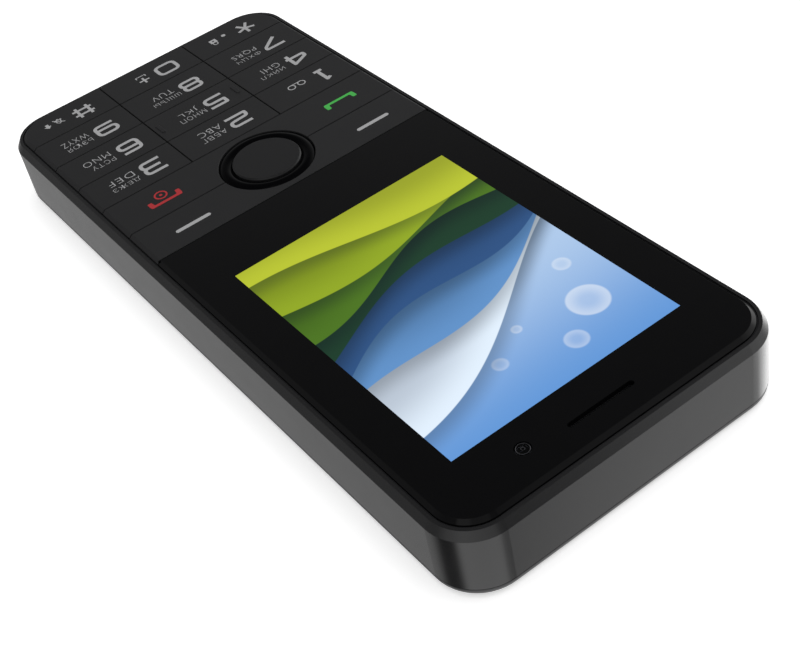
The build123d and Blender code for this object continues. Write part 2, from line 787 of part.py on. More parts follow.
# Front housing: side walls, chamfered rim, and the deck under lens and keypad
with BuildPart() as front_housing:
    slab(0, wall_bottom, wall_top)
    sloping_slab(0, rim_chamfer_width, wall_top, lip_height)
    slab(recess_inset, deck_top, front_plane, Mode.SUBTRACT)
    with BuildSketch(Plane.XY.offset(keymat_bottom)):
        RectangleRounded(
            body_width - 2 * recess_inset,
            body_length - 2 * recess_inset,
            corner_radius - recess_inset,
        )
        with Locations((0, keypad_top_y + body_length / 2)):
            Rectangle(body_width, body_length, mode=Mode.SUBTRACT)
    extrude(amount=deck_top - keymat_bottom, mode=Mode.SUBTRACT)
    slab(board_ledge_inset, wall_bottom - overrun, deck_bottom, Mode.SUBTRACT)
    slab(housing_wall, wall_bottom - overrun, board_ledge_height, Mode.SUBTRACT)
    block(0, panel_y, window_width, window_length, deck_bottom, deck_top, Mode.SUBTRACT)
    for post_x, post_y in key_posts:
        rod(post_x, post_y, post_radius + post_clearance, deck_bottom, keymat_bottom, Mode.SUBTRACT)
    for nub_x, nub_y in nub_places:
        rod(nub_x, nub_y, nub_radius + post_clearance, deck_bottom, keymat_bottom, Mode.SUBTRACT)
    earpiece_pocket_top = earpiece_top + fit_gap
    round_block(
        0,
        earpiece_y,
        earpiece_length + 2 * fit_gap,
        earpiece_width + 2 * fit_gap,
        earpiece_width / 4,
        deck_bottom,
        earpiece_pocket_top,
        Mode.SUBTRACT,
    )
    slot_block(
        0,
        earpiece_y,
        earpiece_slot_length,
        earpiece_slot_width,
        earpiece_pocket_top,
        deck_top,
        mode=Mode.SUBTRACT,
    )
    camera_pocket = front_camera_size + 2 * fit_gap
    camera_pocket_top = front_camera_shoulder + fit_gap
    block(
        front_camera_x,
        front_camera_y,
        camera_pocket,
        camera_pocket,
        deck_bottom,
        camera_pocket_top,
        Mode.SUBTRACT,
    )
    rod(
        front_camera_x,
        front_camera_y,
        front_camera_barrel_radius + fit_gap,
        camera_pocket_top,
        deck_top,
        Mode.SUBTRACT,
    )
    for boss_x, boss_y in boss_places:
        rod(boss_x, boss_y, boss_radius, boss_bottom, deck_bottom)
        pilot_top = screw_seat + screw_length + screw_pilot_extra
        pilot_radius = screw_radius + screw_hole_clearance
        rod(boss_x, boss_y, pilot_radius, boss_bottom, pilot_top, Mode.SUBTRACT)
    end_slot(
        0,
        usb_center_height,
        usb_width + 2 * usb_opening_gap,
        usb_height + 2 * usb_opening_gap,
        bottom_end - overrun,
        bottom_end + housing_wall + overrun,
    )
    jack_hole_radius = jack_collar_radius + fit_gap
    end_bore(
        jack_x,
        jack_center_height,
        jack_hole_radius,
        bottom_end - overrun,
        bottom_end + housing_wall + overrun,
    )
    end_bore(
        -microphone_x,
        microphone_hole_height,
        microphone_hole_radius,
        bottom_end - overrun,
        bottom_end + housing_wall + overrun,
    )
save(front_housing, "front_housing")

# Circuit board, with a clearance hole round each screw boss
with BuildPart() as circuit_board:
    slab(board_inset, board_bottom, board_top)
    for boss_x, boss_y in boss_places:
        rod(boss_x, boss_y, boss_radius + boss_gap, board_bottom, board_top, Mode.SUBTRACT)
save(circuit_board, "circuit_board")

# Chips under the two shields
chip_bottom = board_bottom - chip_height
chip_places = [
    (-shield_x, shield_y, chip_large),
    (shield_x, shield_y + shield_length / 4, chip_large),
    (shield_x, shield_y - shield_length / 4, chip_small),
]
with BuildPart() as circuit_chips:
    for chip_x, chip_y, chip_size in chip_places:
        block(chip_x, chip_y, chip_size, chip_size, chip_bottom, board_bottom)
save(circuit_chips, "circuit_chips")

# Two pressed shields behind the board
for label, side in (("radio_shield", -1), ("processor_shield", 1)):
    with BuildPart() as shield:
        block(side * shield_x, shield_y, shield_width, shield_length, shield_bottom, board_bottom)
        inner_width = shield_width - 2 * shield_wall
        inner_length = shield_length - 2 * shield_wall
        inner_bottom = shield_bottom + shield_wall
        block(side * shield_x, shield_y, inner_width, inner_length, inner_bottom, board_bottom, Mode.SUBTRACT)
    save(shield, label)


def make_card_holder(x, y, width, length, slot_width):
    """Card holder behind the board: a frame with a card slot and an open back."""
    slot_low = shield_bottom + holder_skin
    slot_length = length - holder_skin
    open_width = slot_width - 2 * holder_window_margin
    with BuildPart() as holder:
        block(x, y, width, length, shield_bottom, board_bottom)
        slot_y = y - holder_skin / 2
        block(x, slot_y, slot_width, slot_length, slot_low, slot_low + sim_slot_height, Mode.SUBTRACT)
        block(x, slot_y, open_width, slot_length, shield_bottom, slot_low, Mode.SUBTRACT)
    return holder


card_holders = [
    ("sim_holder_1", -sim_holder_x, sim_y, sim_holder_width, sim_holder_length, sim_slot_width),
    ("sim_holder_2", sim_holder_x, sim_y, sim_holder_width, sim_holder_length, sim_slot_width),
    ("memory_card_holder", 0, memory_y, memory_holder_width, memory_holder_length, memory_slot_width),
]
for label, x, y, width, length, slot_width in card_holders:
    save(make_card_holder(x, y, width, length, slot_width), label)

# Battery contacts: a block behind the bay's end wall with three leaf tips
contact_block_low = board_bottom - contact_block_height
contact_block_start_y = bay_top_y + bay_wall + fit_gap
contact_tip_y = bay_top_y - battery_side_gap + contact_reach_gap
contact_height_center = (battery_top + battery_bottom) / 2
with BuildPart() as battery_contacts:
    block(
        0,
        contact_block_start_y + contact_block_length / 2,
        contact_block_width,
        contact_block_length,
        contact_block_low,
        board_bottom,
    )
    tip_length = contact_block_start_y - contact_tip_y
    tip_low = contact_height_center - contact_height / 2
    for index in (-1, 0, 1):
        tip_y = contact_tip_y + tip_length / 2
        block(index * contact_pitch, tip_y, contact_width, tip_length, tip_low, tip_low + contact_height)
save(battery_contacts, "battery_contacts")

# USB socket in the keypad end, with its tongue
with BuildPart() as usb_socket:
    usb_back_y = usb_mouth_y + usb_length
    end_slot(0, usb_center_height, usb_width, usb_height, usb_mouth_y, usb_back_y, Mode.ADD)
    usb_inner_width = usb_width - 2 * usb_shell
    usb_inner_height = usb_height - 2 * usb_shell
    end_slot(0, usb_center_height, usb_inner_width, usb_inner_height, usb_mouth_y, usb_back_y - usb_shell)
    tongue_start_y = usb_mouth_y + usb_tongue_setback
    tongue_length = usb_back_y - tongue_start_y
    tongue_low = usb_center_height - usb_tongue_thickness / 2
    block(
        0,
        tongue_start_y + tongue_length / 2,
        usb_tongue_width,
        tongue_length,
        tongue_low,
        tongue_low + usb_tongue_thickness,
    )
save(usb_socket, "usb_socket")

# Headset jack in the keypad end, with a round collar through the wall
with BuildPart() as headset_jack:
    jack_body_y = jack_body_start_y + jack_length / 2
    block(jack_x, jack_body_y, jack_width, jack_length, board_bottom - jack_height, board_bottom)
    collar_mouth_y = bottom_end + jack_collar_inset
    end_bore(jack_x, jack_center_height, jack_collar_radius, collar_mouth_y, jack_body_start_y, Mode.ADD)
    end_bore(jack_x, jack_center_height, jack_bore_radius, collar_mouth_y, collar_mouth_y + jack_bore_length)
save(headset_jack, "headset_jack")

# Microphone behind its sound hole in the keypad end
with BuildPart() as microphone:
    microphone_low = board_bottom - microphone_height
    block(-microphone_x, microphone_y, microphone_width, microphone_length, microphone_low, board_bottom)
save(microphone, "microphone")

# Loudspeaker on the floor of the rear housing, cone towards the back
speaker_top = chamber_floor + speaker_height
with BuildPart() as loudspeaker:
    round_block(
        -speaker_x,
        speaker_y,
        speaker_width,
        speaker_length,
        speaker_corner,
        chamber_floor,
        speaker_top,
    )
    round_block(
        -speaker_x,
        speaker_y,
        speaker_width - 2 * speaker_cone_margin,
        speaker_length - 2 * speaker_cone_margin,
        speaker_corner,
        chamber_floor,
        chamber_floor + speaker_cone_depth,
        Mode.SUBTRACT,
    )
save(loudspeaker, "loudspeaker")

# Vibration motor, a coin type
with BuildPart() as vibration_motor:
    rod(-motor_x, motor_y, motor_radius, chamber_floor, chamber_floor + motor_height)
    motor_top = chamber_floor + motor_height
    rod(-motor_x, motor_y, motor_hub_radius, motor_top, motor_top + motor_hub_height)
save(vibration_motor, "vibration_motor")

# Rear camera under the board, barrel towards the back
with BuildPart() as rear_camera:
    block(
        rear_camera_x,
        rear_camera_y,
        rear_camera_size,
        rear_camera_size,
        rear_camera_body_bottom,
        board_bottom,
    )
    rod(
        rear_camera_x,
        rear_camera_y,
        rear_camera_barrel_radius,
        rear_camera_barrel_bottom,
        rear_camera_body_bottom,
    )
    rod(
        rear_camera_x,
        rear_camera_y,
        rear_camera_glass_radius,
        rear_camera_barrel_bottom,
        rear_camera_barrel_bottom + rear_camera_glass_depth,
        Mode.SUBTRACT,
    )
save(rear_camera, "rear_camera")

# Torch light over its hole in the rear housing's floor
with BuildPart() as torch_led:
    block(rear_camera_x, torch_y, torch_size, torch_size, chamber_floor, chamber_floor + torch_height)
save(torch_led, "torch_led")

# Rear housing: chassis with the battery bay, screw sleeves and chambers
speaker_slot_offsets = [
    (index - (speaker_slot_count - 1) / 2) * speaker_slot_pitch for index in range(speaker_slot_count)
]
with BuildPart() as rear_envelope:
    slab(rear_housing_lower_inset, rear_housing_bottom, rear_housing_step)
    slab(rear_housing_inset, rear_housing_step, board_bottom)

with BuildPart() as rear_housing:
    add(rear_envelope.part)
    slab(rear_housing_inner_inset, chamber_floor, board_bottom, Mode.SUBTRACT)
    bay_outer_width = bay_width + 2 * bay_wall
    bay_outer_length = bay_length + 2 * bay_wall
    block(0, bay_y, bay_outer_width, bay_outer_length, rear_housing_bottom, bay_floor_top)
    sleeve_radius = boss_radius + boss_gap + sleeve_wall
    for boss_x, boss_y in boss_places:
        rod(boss_x, boss_y, sleeve_radius, rear_housing_bottom, board_bottom)
    add(rear_envelope.part, mode=Mode.INTERSECT)
    round_block(
        0,
        bay_y,
        bay_width,
        bay_length,
        battery_corner,
        rear_housing_bottom,
        bay_ceiling,
        Mode.SUBTRACT,
    )
    for label, x, y, width, length, slot_width in card_holders:
        window = slot_width - holder_window_margin
        block(x, y, window, length - holder_window_margin, bay_ceiling, bay_floor_top, Mode.SUBTRACT)
    contact_notch = 2 * contact_pitch + contact_width + 2 * fit_gap
    notch_low = tip_low - fit_gap
    notch_high = tip_low + contact_height + fit_gap
    notch_y = bay_top_y + bay_wall / 2
    block(0, notch_y, contact_notch, bay_wall + fit_gap, notch_low, notch_high, Mode.SUBTRACT)
    for boss_x, boss_y in boss_places:
        rod(boss_x, boss_y, boss_radius + boss_gap, boss_bottom - fit_gap, board_bottom, Mode.SUBTRACT)
        rod(boss_x, boss_y, screw_radius + fit_gap, rear_housing_bottom, boss_bottom, Mode.SUBTRACT)
        rod(boss_x, boss_y, screw_head_radius + fit_gap, rear_housing_bottom, screw_seat, Mode.SUBTRACT)
    rod(
        rear_camera_x,
        rear_camera_y,
        rear_camera_barrel_radius + fit_gap,
        rear_housing_bottom,
        chamber_floor,
        Mode.SUBTRACT,
    )
    rod(rear_camera_x, torch_y, torch_hole_radius, rear_housing_bottom, chamber_floor, Mode.SUBTRACT)
    for offset in speaker_slot_offsets:
        slot_block(
            -speaker_x + offset,
            speaker_y,
            speaker_slot_length,
            speaker_slot_width,
            rear_housing_bottom,
            chamber_floor,
            turn=90,
            mode=Mode.SUBTRACT,
        )
    end_slot(
        0,
        usb_center_height,
        usb_width + 2 * usb_opening_gap,
        usb_height + 2 * usb_opening_gap,
        bottom_end,
        bottom_end + rear_housing_inner_inset,
    )
    end_bore(
        jack_x,
        jack_center_height,
        jack_hole_radius,
        bottom_end,
        bottom_end + rear_housing_inner_inset,
    )
    end_bore(
        -microphone_x,
        microphone_hole_height,
        microphone_hole_radius,
        bottom_end,
        bottom_end + rear_housing_inner_inset,
    )
save(rear_housing, "rear_housing")

# Mesh behind the loudspeaker slots
with BuildPart() as speaker_mesh:
    mesh_width = (speaker_slot_count - 1) * speaker_slot_pitch + speaker_slot_width + 2 * speaker_mesh_margin
    mesh_length = speaker_slot_length + 2 * speaker_mesh_margin
    mesh_low = rear_housing_bottom - speaker_mesh_thickness
    block(-speaker_x, speaker_y, mesh_width, mesh_length, mesh_low, rear_housing_bottom)
save(speaker_mesh, "speaker_mesh")

# Antenna: a comb-shaped trace on the back of the rear housing
antenna_low_y = bottom_end + antenna_from_end
antenna_y = antenna_low_y + antenna_length / 2
finger_pitch = (antenna_width - antenna_trace) / (antenna_finger_count - 1)
with BuildPart() as antenna:
    with BuildSketch(Plane.XY.offset(rear_housing_bottom - antenna_thickness)):
        with Locations((0, antenna_low_y + antenna_trace / 2)):
            Rectangle(antenna_width, antenna_trace)
        for index in range(antenna_finger_count):
            finger_x = index * finger_pitch - (antenna_width - antenna_trace) / 2
            with Locations((finger_x, antenna_y)):
                Rectangle(antenna_trace, antenna_length)
    extrude(amount=antenna_thickness)
save(antenna, "antenna")

# Six screws that hold the housings together
with BuildPart() as housing_screws:
    for boss_x, boss_y in boss_places:
        head_low = screw_seat - screw_head_height
        rod(boss_x, boss_y, screw_radius, screw_seat, screw_seat + screw_length)
        rod(boss_x, boss_y, screw_head_radius, head_low, screw_seat)
        recess_top = head_low + screw_recess_depth
        cross_arm = screw_recess_width / 3
        block(boss_x, boss_y, 2 * screw_recess_width, cross_arm, head_low, recess_top, Mode.SUBTRACT)
        block(boss_x, boss_y, cross_arm, 2 * screw_recess_width, head_low, recess_top, Mode.SUBTRACT)
save(housing_screws, "housing_screws")

# Battery
with BuildPart() as battery:
    round_block(
        0,
        bay_y,
        battery_width,
        battery_length,
        battery_corner,
        battery_bottom,
        battery_top,
    )
    chamfer(battery.faces().group_by(Axis.Z)[0].edges(), length=battery_corner / 4)
save(battery, "battery")

# Rear cover: shallow shell with a skirt and tabs inside the walls
tab_y = body_length / 2 - tab_from_ends
with BuildPart() as rear_cover:
    slab(0, 0, cover_height)
    fillet(rear_cover.faces().sort_by(Axis.Z)[0].edges(), radius=cover_edge_radius)
    slab(skirt_inset, cover_height, skirt_height)
    for side in (-1, 1):
        for tab_place_y in (-tab_y, 0, tab_y):
            tab_x = side * (half_width - skirt_inset - skirt_thickness / 2)
            block(tab_x, tab_place_y, skirt_thickness, tab_width, skirt_height, skirt_height + tab_height)
    slab(skirt_inner_inset, cover_floor, skirt_height + overrun, Mode.SUBTRACT)
    block(
        0,
        bottom_end,
        nail_notch_width,
        2 * nail_notch_depth,
        cover_height - nail_notch_height,
        cover_height,
        Mode.SUBTRACT,
    )
    rod(rear_camera_x, rear_camera_y, rear_window_radius + key_rest_gap, 0, cover_floor, Mode.SUBTRACT)
    rod(rear_camera_x, torch_y, torch_lens_radius + key_rest_gap, 0, cover_floor, Mode.SUBTRACT)
    for offset in speaker_slot_offsets:
        slot_block(
            -speaker_x + offset,
            speaker_y,
            speaker_slot_length,
            speaker_slot_width,
            0,
            cover_floor,
            turn=90,
            mode=Mode.SUBTRACT,
        )
save(rear_cover, "rear_cover")

# Clear window over the rear camera, and the torch lens, both in the cover
with BuildPart() as rear_camera_window:
    window_bottom = rear_window_sink
    window_top = window_bottom + rear_window_thickness
    rod(rear_camera_x, rear_camera_y, rear_window_radius, window_bottom, window_top)
save(rear_camera_window, "rear_camera_window")

with BuildPart() as torch_lens:
    rod(rear_camera_x, torch_y, torch_lens_radius, torch_lens_sink, cover_floor)
    chamfer(torch_lens.faces().sort_by(Axis.Z)[0].edges(), length=torch_lens_sink)
save(torch_lens, "torch_lens")
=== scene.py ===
"""Looks of a bar-shaped feature phone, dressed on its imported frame.

Everything is in metres, in the frame's own axes: +X to the right of the front, +Y to the
earpiece end, +Z out of the front. Sizes are written as a number of millimetres times MM.
"""

import logging
import math
from collections.abc import Iterable, Sequence
from dataclasses import dataclass, field
from enum import Enum
from typing import Any

import bmesh
import bpy
from mathutils import Euler, Matrix, Vector
from mathutils.geometry import delaunay_2d_cdt


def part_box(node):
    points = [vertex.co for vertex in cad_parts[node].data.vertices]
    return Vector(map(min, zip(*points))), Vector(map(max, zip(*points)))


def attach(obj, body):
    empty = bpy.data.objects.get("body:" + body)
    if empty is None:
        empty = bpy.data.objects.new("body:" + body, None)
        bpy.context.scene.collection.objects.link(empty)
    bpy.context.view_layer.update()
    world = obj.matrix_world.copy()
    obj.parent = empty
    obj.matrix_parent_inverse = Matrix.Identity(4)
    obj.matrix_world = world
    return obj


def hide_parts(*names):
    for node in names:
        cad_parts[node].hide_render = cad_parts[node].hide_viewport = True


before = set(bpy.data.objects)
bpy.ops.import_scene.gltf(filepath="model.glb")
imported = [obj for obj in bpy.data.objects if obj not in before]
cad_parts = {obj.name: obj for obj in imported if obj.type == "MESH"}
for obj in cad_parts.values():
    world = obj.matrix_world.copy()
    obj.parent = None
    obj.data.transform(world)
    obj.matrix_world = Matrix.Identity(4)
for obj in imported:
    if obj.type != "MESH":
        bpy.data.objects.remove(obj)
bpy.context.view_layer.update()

MM = 0.001
MICRON = 1e-6
LOG = logging.getLogger("phone")

Color = tuple[float, float, float, float]
Place = tuple[float, float]
Socket = bpy.types.NodeSocket
Inputs = dict[str | int, Any]

WHITE: Color = (1.0, 1.0, 1.0, 1.0)

# Steps round what is turned.
LARGE_TURN = 64
TURN = 48
SMALL_TURN = 32
TINY_TURN = 24


def srgb(red: float, green: float, blue: float) -> Color:
    """Turn a display colour, from 0 to 255, into the linear colour that a shader takes.

    Args:
        red: Its red.
        green: Its green.
        blue: Its blue.

    Returns:
        The linear colour, opaque.
    """
    linear = []
    for channel in (red, green, blue):
        share = channel / 255
        linear.append(share / 12.92 if share <= 0.04045 else ((share + 0.055) / 1.055) ** 2.4)
    return (*linear, 1.0)


def shade(color: Color, factor: float) -> Color:
    """Scale a colour's brightness."""
    return (*(min(1.0, channel * factor) for channel in color[:3]), 1.0)


class Graph:
    """A node tree being wired, with short calls for what the finishes and the repeats need."""

    FIRST_COLOR, SECOND_COLOR, MIXED_COLOR = 6, 7, 2

    def __init__(self, tree: bpy.types.NodeTree) -> None:
        """Start on an emptied tree."""
        self.tree = tree
        tree.nodes.clear()

    def add(self, kind: str, inputs: Inputs | None = None, **settings: Any) -> bpy.types.Node:
        """Add one node.

        Args:
            kind: The node's type.
            inputs: What its inputs take, sockets or plain values, by name or number.
            **settings: Properties of the node.

        Returns:
            The new node.
        """
        node = self.tree.nodes.new(kind)
        for name, value in settings.items():
            setattr(node, name, value)
        for name, value in (inputs or {}).items():
            self.feed(node.inputs[name], value)
        return node

    def out(self, kind: str, inputs: Inputs | None = None, **settings: Any) -> Socket:
        """Add one node and give its first output."""
        return self.add(kind, inputs, **settings).outputs[0]

    def feed(self, socket: Socket, value: Any) -> None:
        """Link a socket into another, or set its plain value.

        Args:
            socket: The input to feed.
            value: A socket or a plain value.
        """
        if isinstance(value, bpy.types.NodeSocket):
            self.tree.links.new(value, socket)
        else:
            socket.default_value = value

    def math(self, operation: str, first: Any, second: Any = 0.0, third: Any = 0.0) -> Socket:
        """Reckon with one, two or three values, in whichever kind of tree this is."""
        return self.out("ShaderNodeMath", {0: first, 1: second, 2: third}, operation=operation)

    def times(self, first: Any, second: Any) -> Socket:
        """Multiply two values."""
        return self.math("MULTIPLY", first, second)

    def axes(self, vector: Socket) -> Sequence[Socket]:
        """Give the X, Y and Z of a vector."""
        return self.add("ShaderNodeSeparateXYZ", {0: vector}).outputs

    def vector(self, length: Any, *axes: int) -> Socket:
        """Make a vector of one length along each of the axes given, from 0 for X to 2 for Z."""
        return self.out("ShaderNodeCombineXYZ", {axis: length for axis in axes})

    def blend(self, factor: Any, first: Any, second: Any) -> Socket:
        """Mix two colours, by the share of the second."""
        inputs = {0: factor, self.FIRST_COLOR: first, self.SECOND_COLOR: second}
        return self.add("ShaderNodeMix", inputs, data_type="RGBA").outputs[self.MIXED_COLOR]

    def spread(self, value: Any, low: float, high: float) -> Socket:
        """Map a value from 0 to 1 onto the range from low to high."""
        return self.math("MULTIPLY_ADD", value, high - low, low)

    def step(self, value: Any, low: float, high: float) -> Socket:
        """Rise smoothly from 0 to 1 while a value goes from low to high."""
        inputs = {"Value": value, "From Min": low, "From Max": high}
        return self.out("ShaderNodeMapRange", inputs, interpolation_type="SMOOTHSTEP")

    def noise(self, place: Socket, size: float, detail: float = 2.0) -> Socket:
        """Make a noise pattern from 0 to 1, with patches of a size and a number of finer layers."""
        return self.out("ShaderNodeTexNoise", {"Vector": place, "Scale": 1 / size, "Detail": detail})

    def stretch(self, place: Socket, along: float) -> Socket:
        """Scale coordinates along Y. Less than 1 draws a pattern out there."""
        return self.out("ShaderNodeMapping", {"Vector": place, "Scale": (1.0, along, 1.0)})

    def object_place(self) -> Socket:
        """Read the place on the object, in its own axes."""
        return self.add("ShaderNodeTexCoord").outputs["Object"]

    def surface(self, shader: bpy.types.Node, height: Socket, depth: float) -> None:
        """Bump a shader by a pattern of heights, and end the material with it.

        Args:
            shader: The shader.
            height: The pattern, from 0 to 1.
            depth: How high 1 is.
        """
        inputs = {"Strength": 1.0, "Distance": depth, "Height": height}
        self.feed(shader.inputs["Normal"], self.out("ShaderNodeBump", inputs))
        self.add("ShaderNodeOutputMaterial", {"Surface": shader.outputs[0]})


def new_material(name: str) -> tuple[bpy.types.Material, Graph]:
    """Start a material.

    Args:
        name: Its name.

    Returns:
        The material and its empty tree.
    """
    material = bpy.data.materials.new(name)
    material.use_nodes = True
    return material, Graph(material.node_tree)


class Grain(Enum):
    """Kinds of surface that the pieces have."""

    MOULDED = "fine sparks left by the mould"
    POLISHED = "a faint orange peel under the gloss"
    BRUSHED = "fine lines along the rolling direction"
    CELLS = "open foam cells"
    WOVEN = "threads over and under each other"
    TRACES = "tracks under solder resist"
    WRAPPED = "film with long soft wrinkles"
    INK = "printed ink with tiny pits"


# Grains drawn out along Y: their scale there, and their finer layers.
DRAWN_OUT = {Grain.BRUSHED: (0.02, 3.0), Grain.WRAPPED: (0.2, 2.0)}
# Levels of the pattern from which an ink's pits rise to its face.
INK_PITS = (0.3, 0.5)


@dataclass(frozen=True)
class Finish:
    """Procedural finish of one material.

    Attributes:
        name: The material's name.
        color: Its mean colour.
        roughness: Its mean roughness.
        grain: The kind of surface.
        size: The size of the grain.
        depth: The height of the grain.
        patch: The size of the slow changes in colour and gloss.
        uneven: How far colour changes, as a share, which also sets how dark the painted shade in the grain's
            low places is.
        smear: How far roughness changes.
        metallic: How metallic it is.
        specular: Level of its gloss.
        coat: Weight of a clear coat.
        coat_roughness: Roughness of that coat.
    """

    name: str
    color: Color
    roughness: float
    grain: Grain = Grain.MOULDED
    size: float = 0.1 * MM
    depth: float = 3 * MICRON
    patch: float = 6 * MM
    uneven: float = 0.08
    smear: float = 0.06
    metallic: float = 0.0
    specular: float = 0.5
    coat: float = 0.0
    coat_roughness: float = 0.04

    def build(self) -> bpy.types.Material:
        """Make the material with its nodes.

        Returns:
            The material.
        """
        cloud_detail, smear_detail, smear_stretch = 4.0, 5.0, 0.7
        material, graph = new_material(self.name)
        place = graph.object_place()
        height = self.relief(graph, place)
        cloud = graph.noise(place, self.patch, cloud_detail)
        smear = graph.noise(graph.stretch(place, smear_stretch), self.patch / 2, smear_detail)
        shader = graph.add("ShaderNodeBsdfPrincipled", {
            "Base Color": self.tint(graph, cloud, height),
            "Roughness": graph.spread(smear, self.roughness - self.smear, self.roughness + self.smear),
            "Metallic": self.metallic,
            "Specular IOR Level": self.specular,
            "Coat Weight": self.coat,
            "Coat Roughness": self.coat_roughness,
        })
        self.add_light(graph, shader, place)
        graph.surface(shader, height, self.depth)
        return material

    def tint(self, graph: Graph, cloud: Socket, height: Socket) -> Socket:
        """Make the colour: slow clouds, and painted shade that makes the low places of the grain a little
        darker.

        Args:
            graph: The tree to add to.
            cloud: The slow pattern.
            height: The grain's height.

        Returns:
            The colour.
        """
        uneven = self.uneven
        slow = graph.blend(cloud, shade(self.color, 1 - uneven), shade(self.color, 1 + uneven))
        # Painted shade: the grain's low places are darker, as if in shadow. On the board this also gives the
        # tracks their own lighter colour.
        painted_hollow_shade = graph.blend(cloud, shade(self.color, 1 - 2 * uneven), shade(self.color, 1 - uneven))
        return graph.blend(height, painted_hollow_shade, slow)

    def relief(self, graph: Graph, place: Socket) -> Socket:
        """Make the height of the grain.

        Args:
            graph: The tree to add to.
            place: The coordinates that it reads.

        Returns:
            The height, from 0 to 1.
        """
        if self.grain is Grain.CELLS:
            return graph.out("ShaderNodeTexVoronoi", {"Vector": place, "Scale": 1 / self.size})
        if self.grain is Grain.WOVEN:
            turns = 2 * math.pi / self.size
            axes = graph.axes(place)
            waves = [graph.math("SINE", graph.times(axes[axis], turns)) for axis in (0, 1)]
            return graph.spread(graph.times(*waves), 0.5, 1.0)
        if self.grain is Grain.TRACES:
            return self.tracks(graph, place)
        if self.grain is Grain.INK:
            return graph.step(graph.noise(place, self.size), *INK_PITS)
        if self.grain in DRAWN_OUT:
            along, detail = DRAWN_OUT[self.grain]
            return graph.noise(graph.stretch(place, along), self.size, detail)
        return graph.noise(place, self.size)

    def tracks(self, graph: Graph, place: Socket) -> Socket:
        """Make the height of a board's tracks: bent bands with pads between.

        Args:
            graph: The tree to add to.
            place: The coordinates that it reads.

        Returns:
            The height, from 0 to 1.
        """
        cell, band, foot, top = 6 * self.size, 0.12, 0.03, 0.05
        inputs = {"Vector": place, "Scale": 1 / cell, "Randomness": 0.6}
        cells = graph.out("ShaderNodeTexVoronoi", inputs, distance="CHEBYCHEV")
        return graph.step(graph.math("PINGPONG", cells, band), foot, top)

    def add_light(self, graph: Graph, shader: bpy.types.Node, place: Socket) -> None:
        """Give a finish its own light. A plain finish has none."""


@dataclass(frozen=True)
class ClearFinish:
    """Clear or smoked material that lets light through.

    Attributes:
        name: The material's name.
        color: What it tints the light.
        roughness: How frosted it is.
        ripple: Height of its faint ripple.
        clear: How much of the light goes through. The rest lights its milky body.
        wave: Size of the ripple.
        index: How strongly it bends light.
    """

    name: str
    color: Color
    roughness: float = 0.02
    ripple: float = 0.4 * MICRON
    clear: float = 1.0
    wave: float = 1.5 * MM
    index: float = 1.49

    def build(self) -> bpy.types.Material:
        """Make the material with its nodes.

        Returns:
            The material.
        """
        darker, smoother, rougher = 0.94, 0.7, 1.3
        material, graph = new_material(self.name)
        wave = graph.noise(graph.object_place(), self.wave)
        shader = graph.add("ShaderNodeBsdfPrincipled", {
            "Base Color": graph.blend(wave, shade(self.color, darker), self.color),
            "Roughness": graph.spread(wave, self.roughness * smoother, self.roughness * rougher),
            "Transmission Weight": self.clear,
            "IOR": self.index,
        })
        graph.surface(shader, wave, self.ripple)
        return material


@dataclass(frozen=True)
class Fold:
    """One folded band of the display's plain wallpaper.

    Attributes:
        color: Its colour.
        level: Where its edge crosses the middle, from -1 at the keypad to 1 at the earpiece.
        slope: How far the edge climbs across the width.
        swing: How far the edge waves.
        turns: How many waves it makes across the width.
        shift: Where the wave starts, in turns.
    """

    color: Color
    level: float
    slope: float
    swing: float
    turns: float
    shift: float


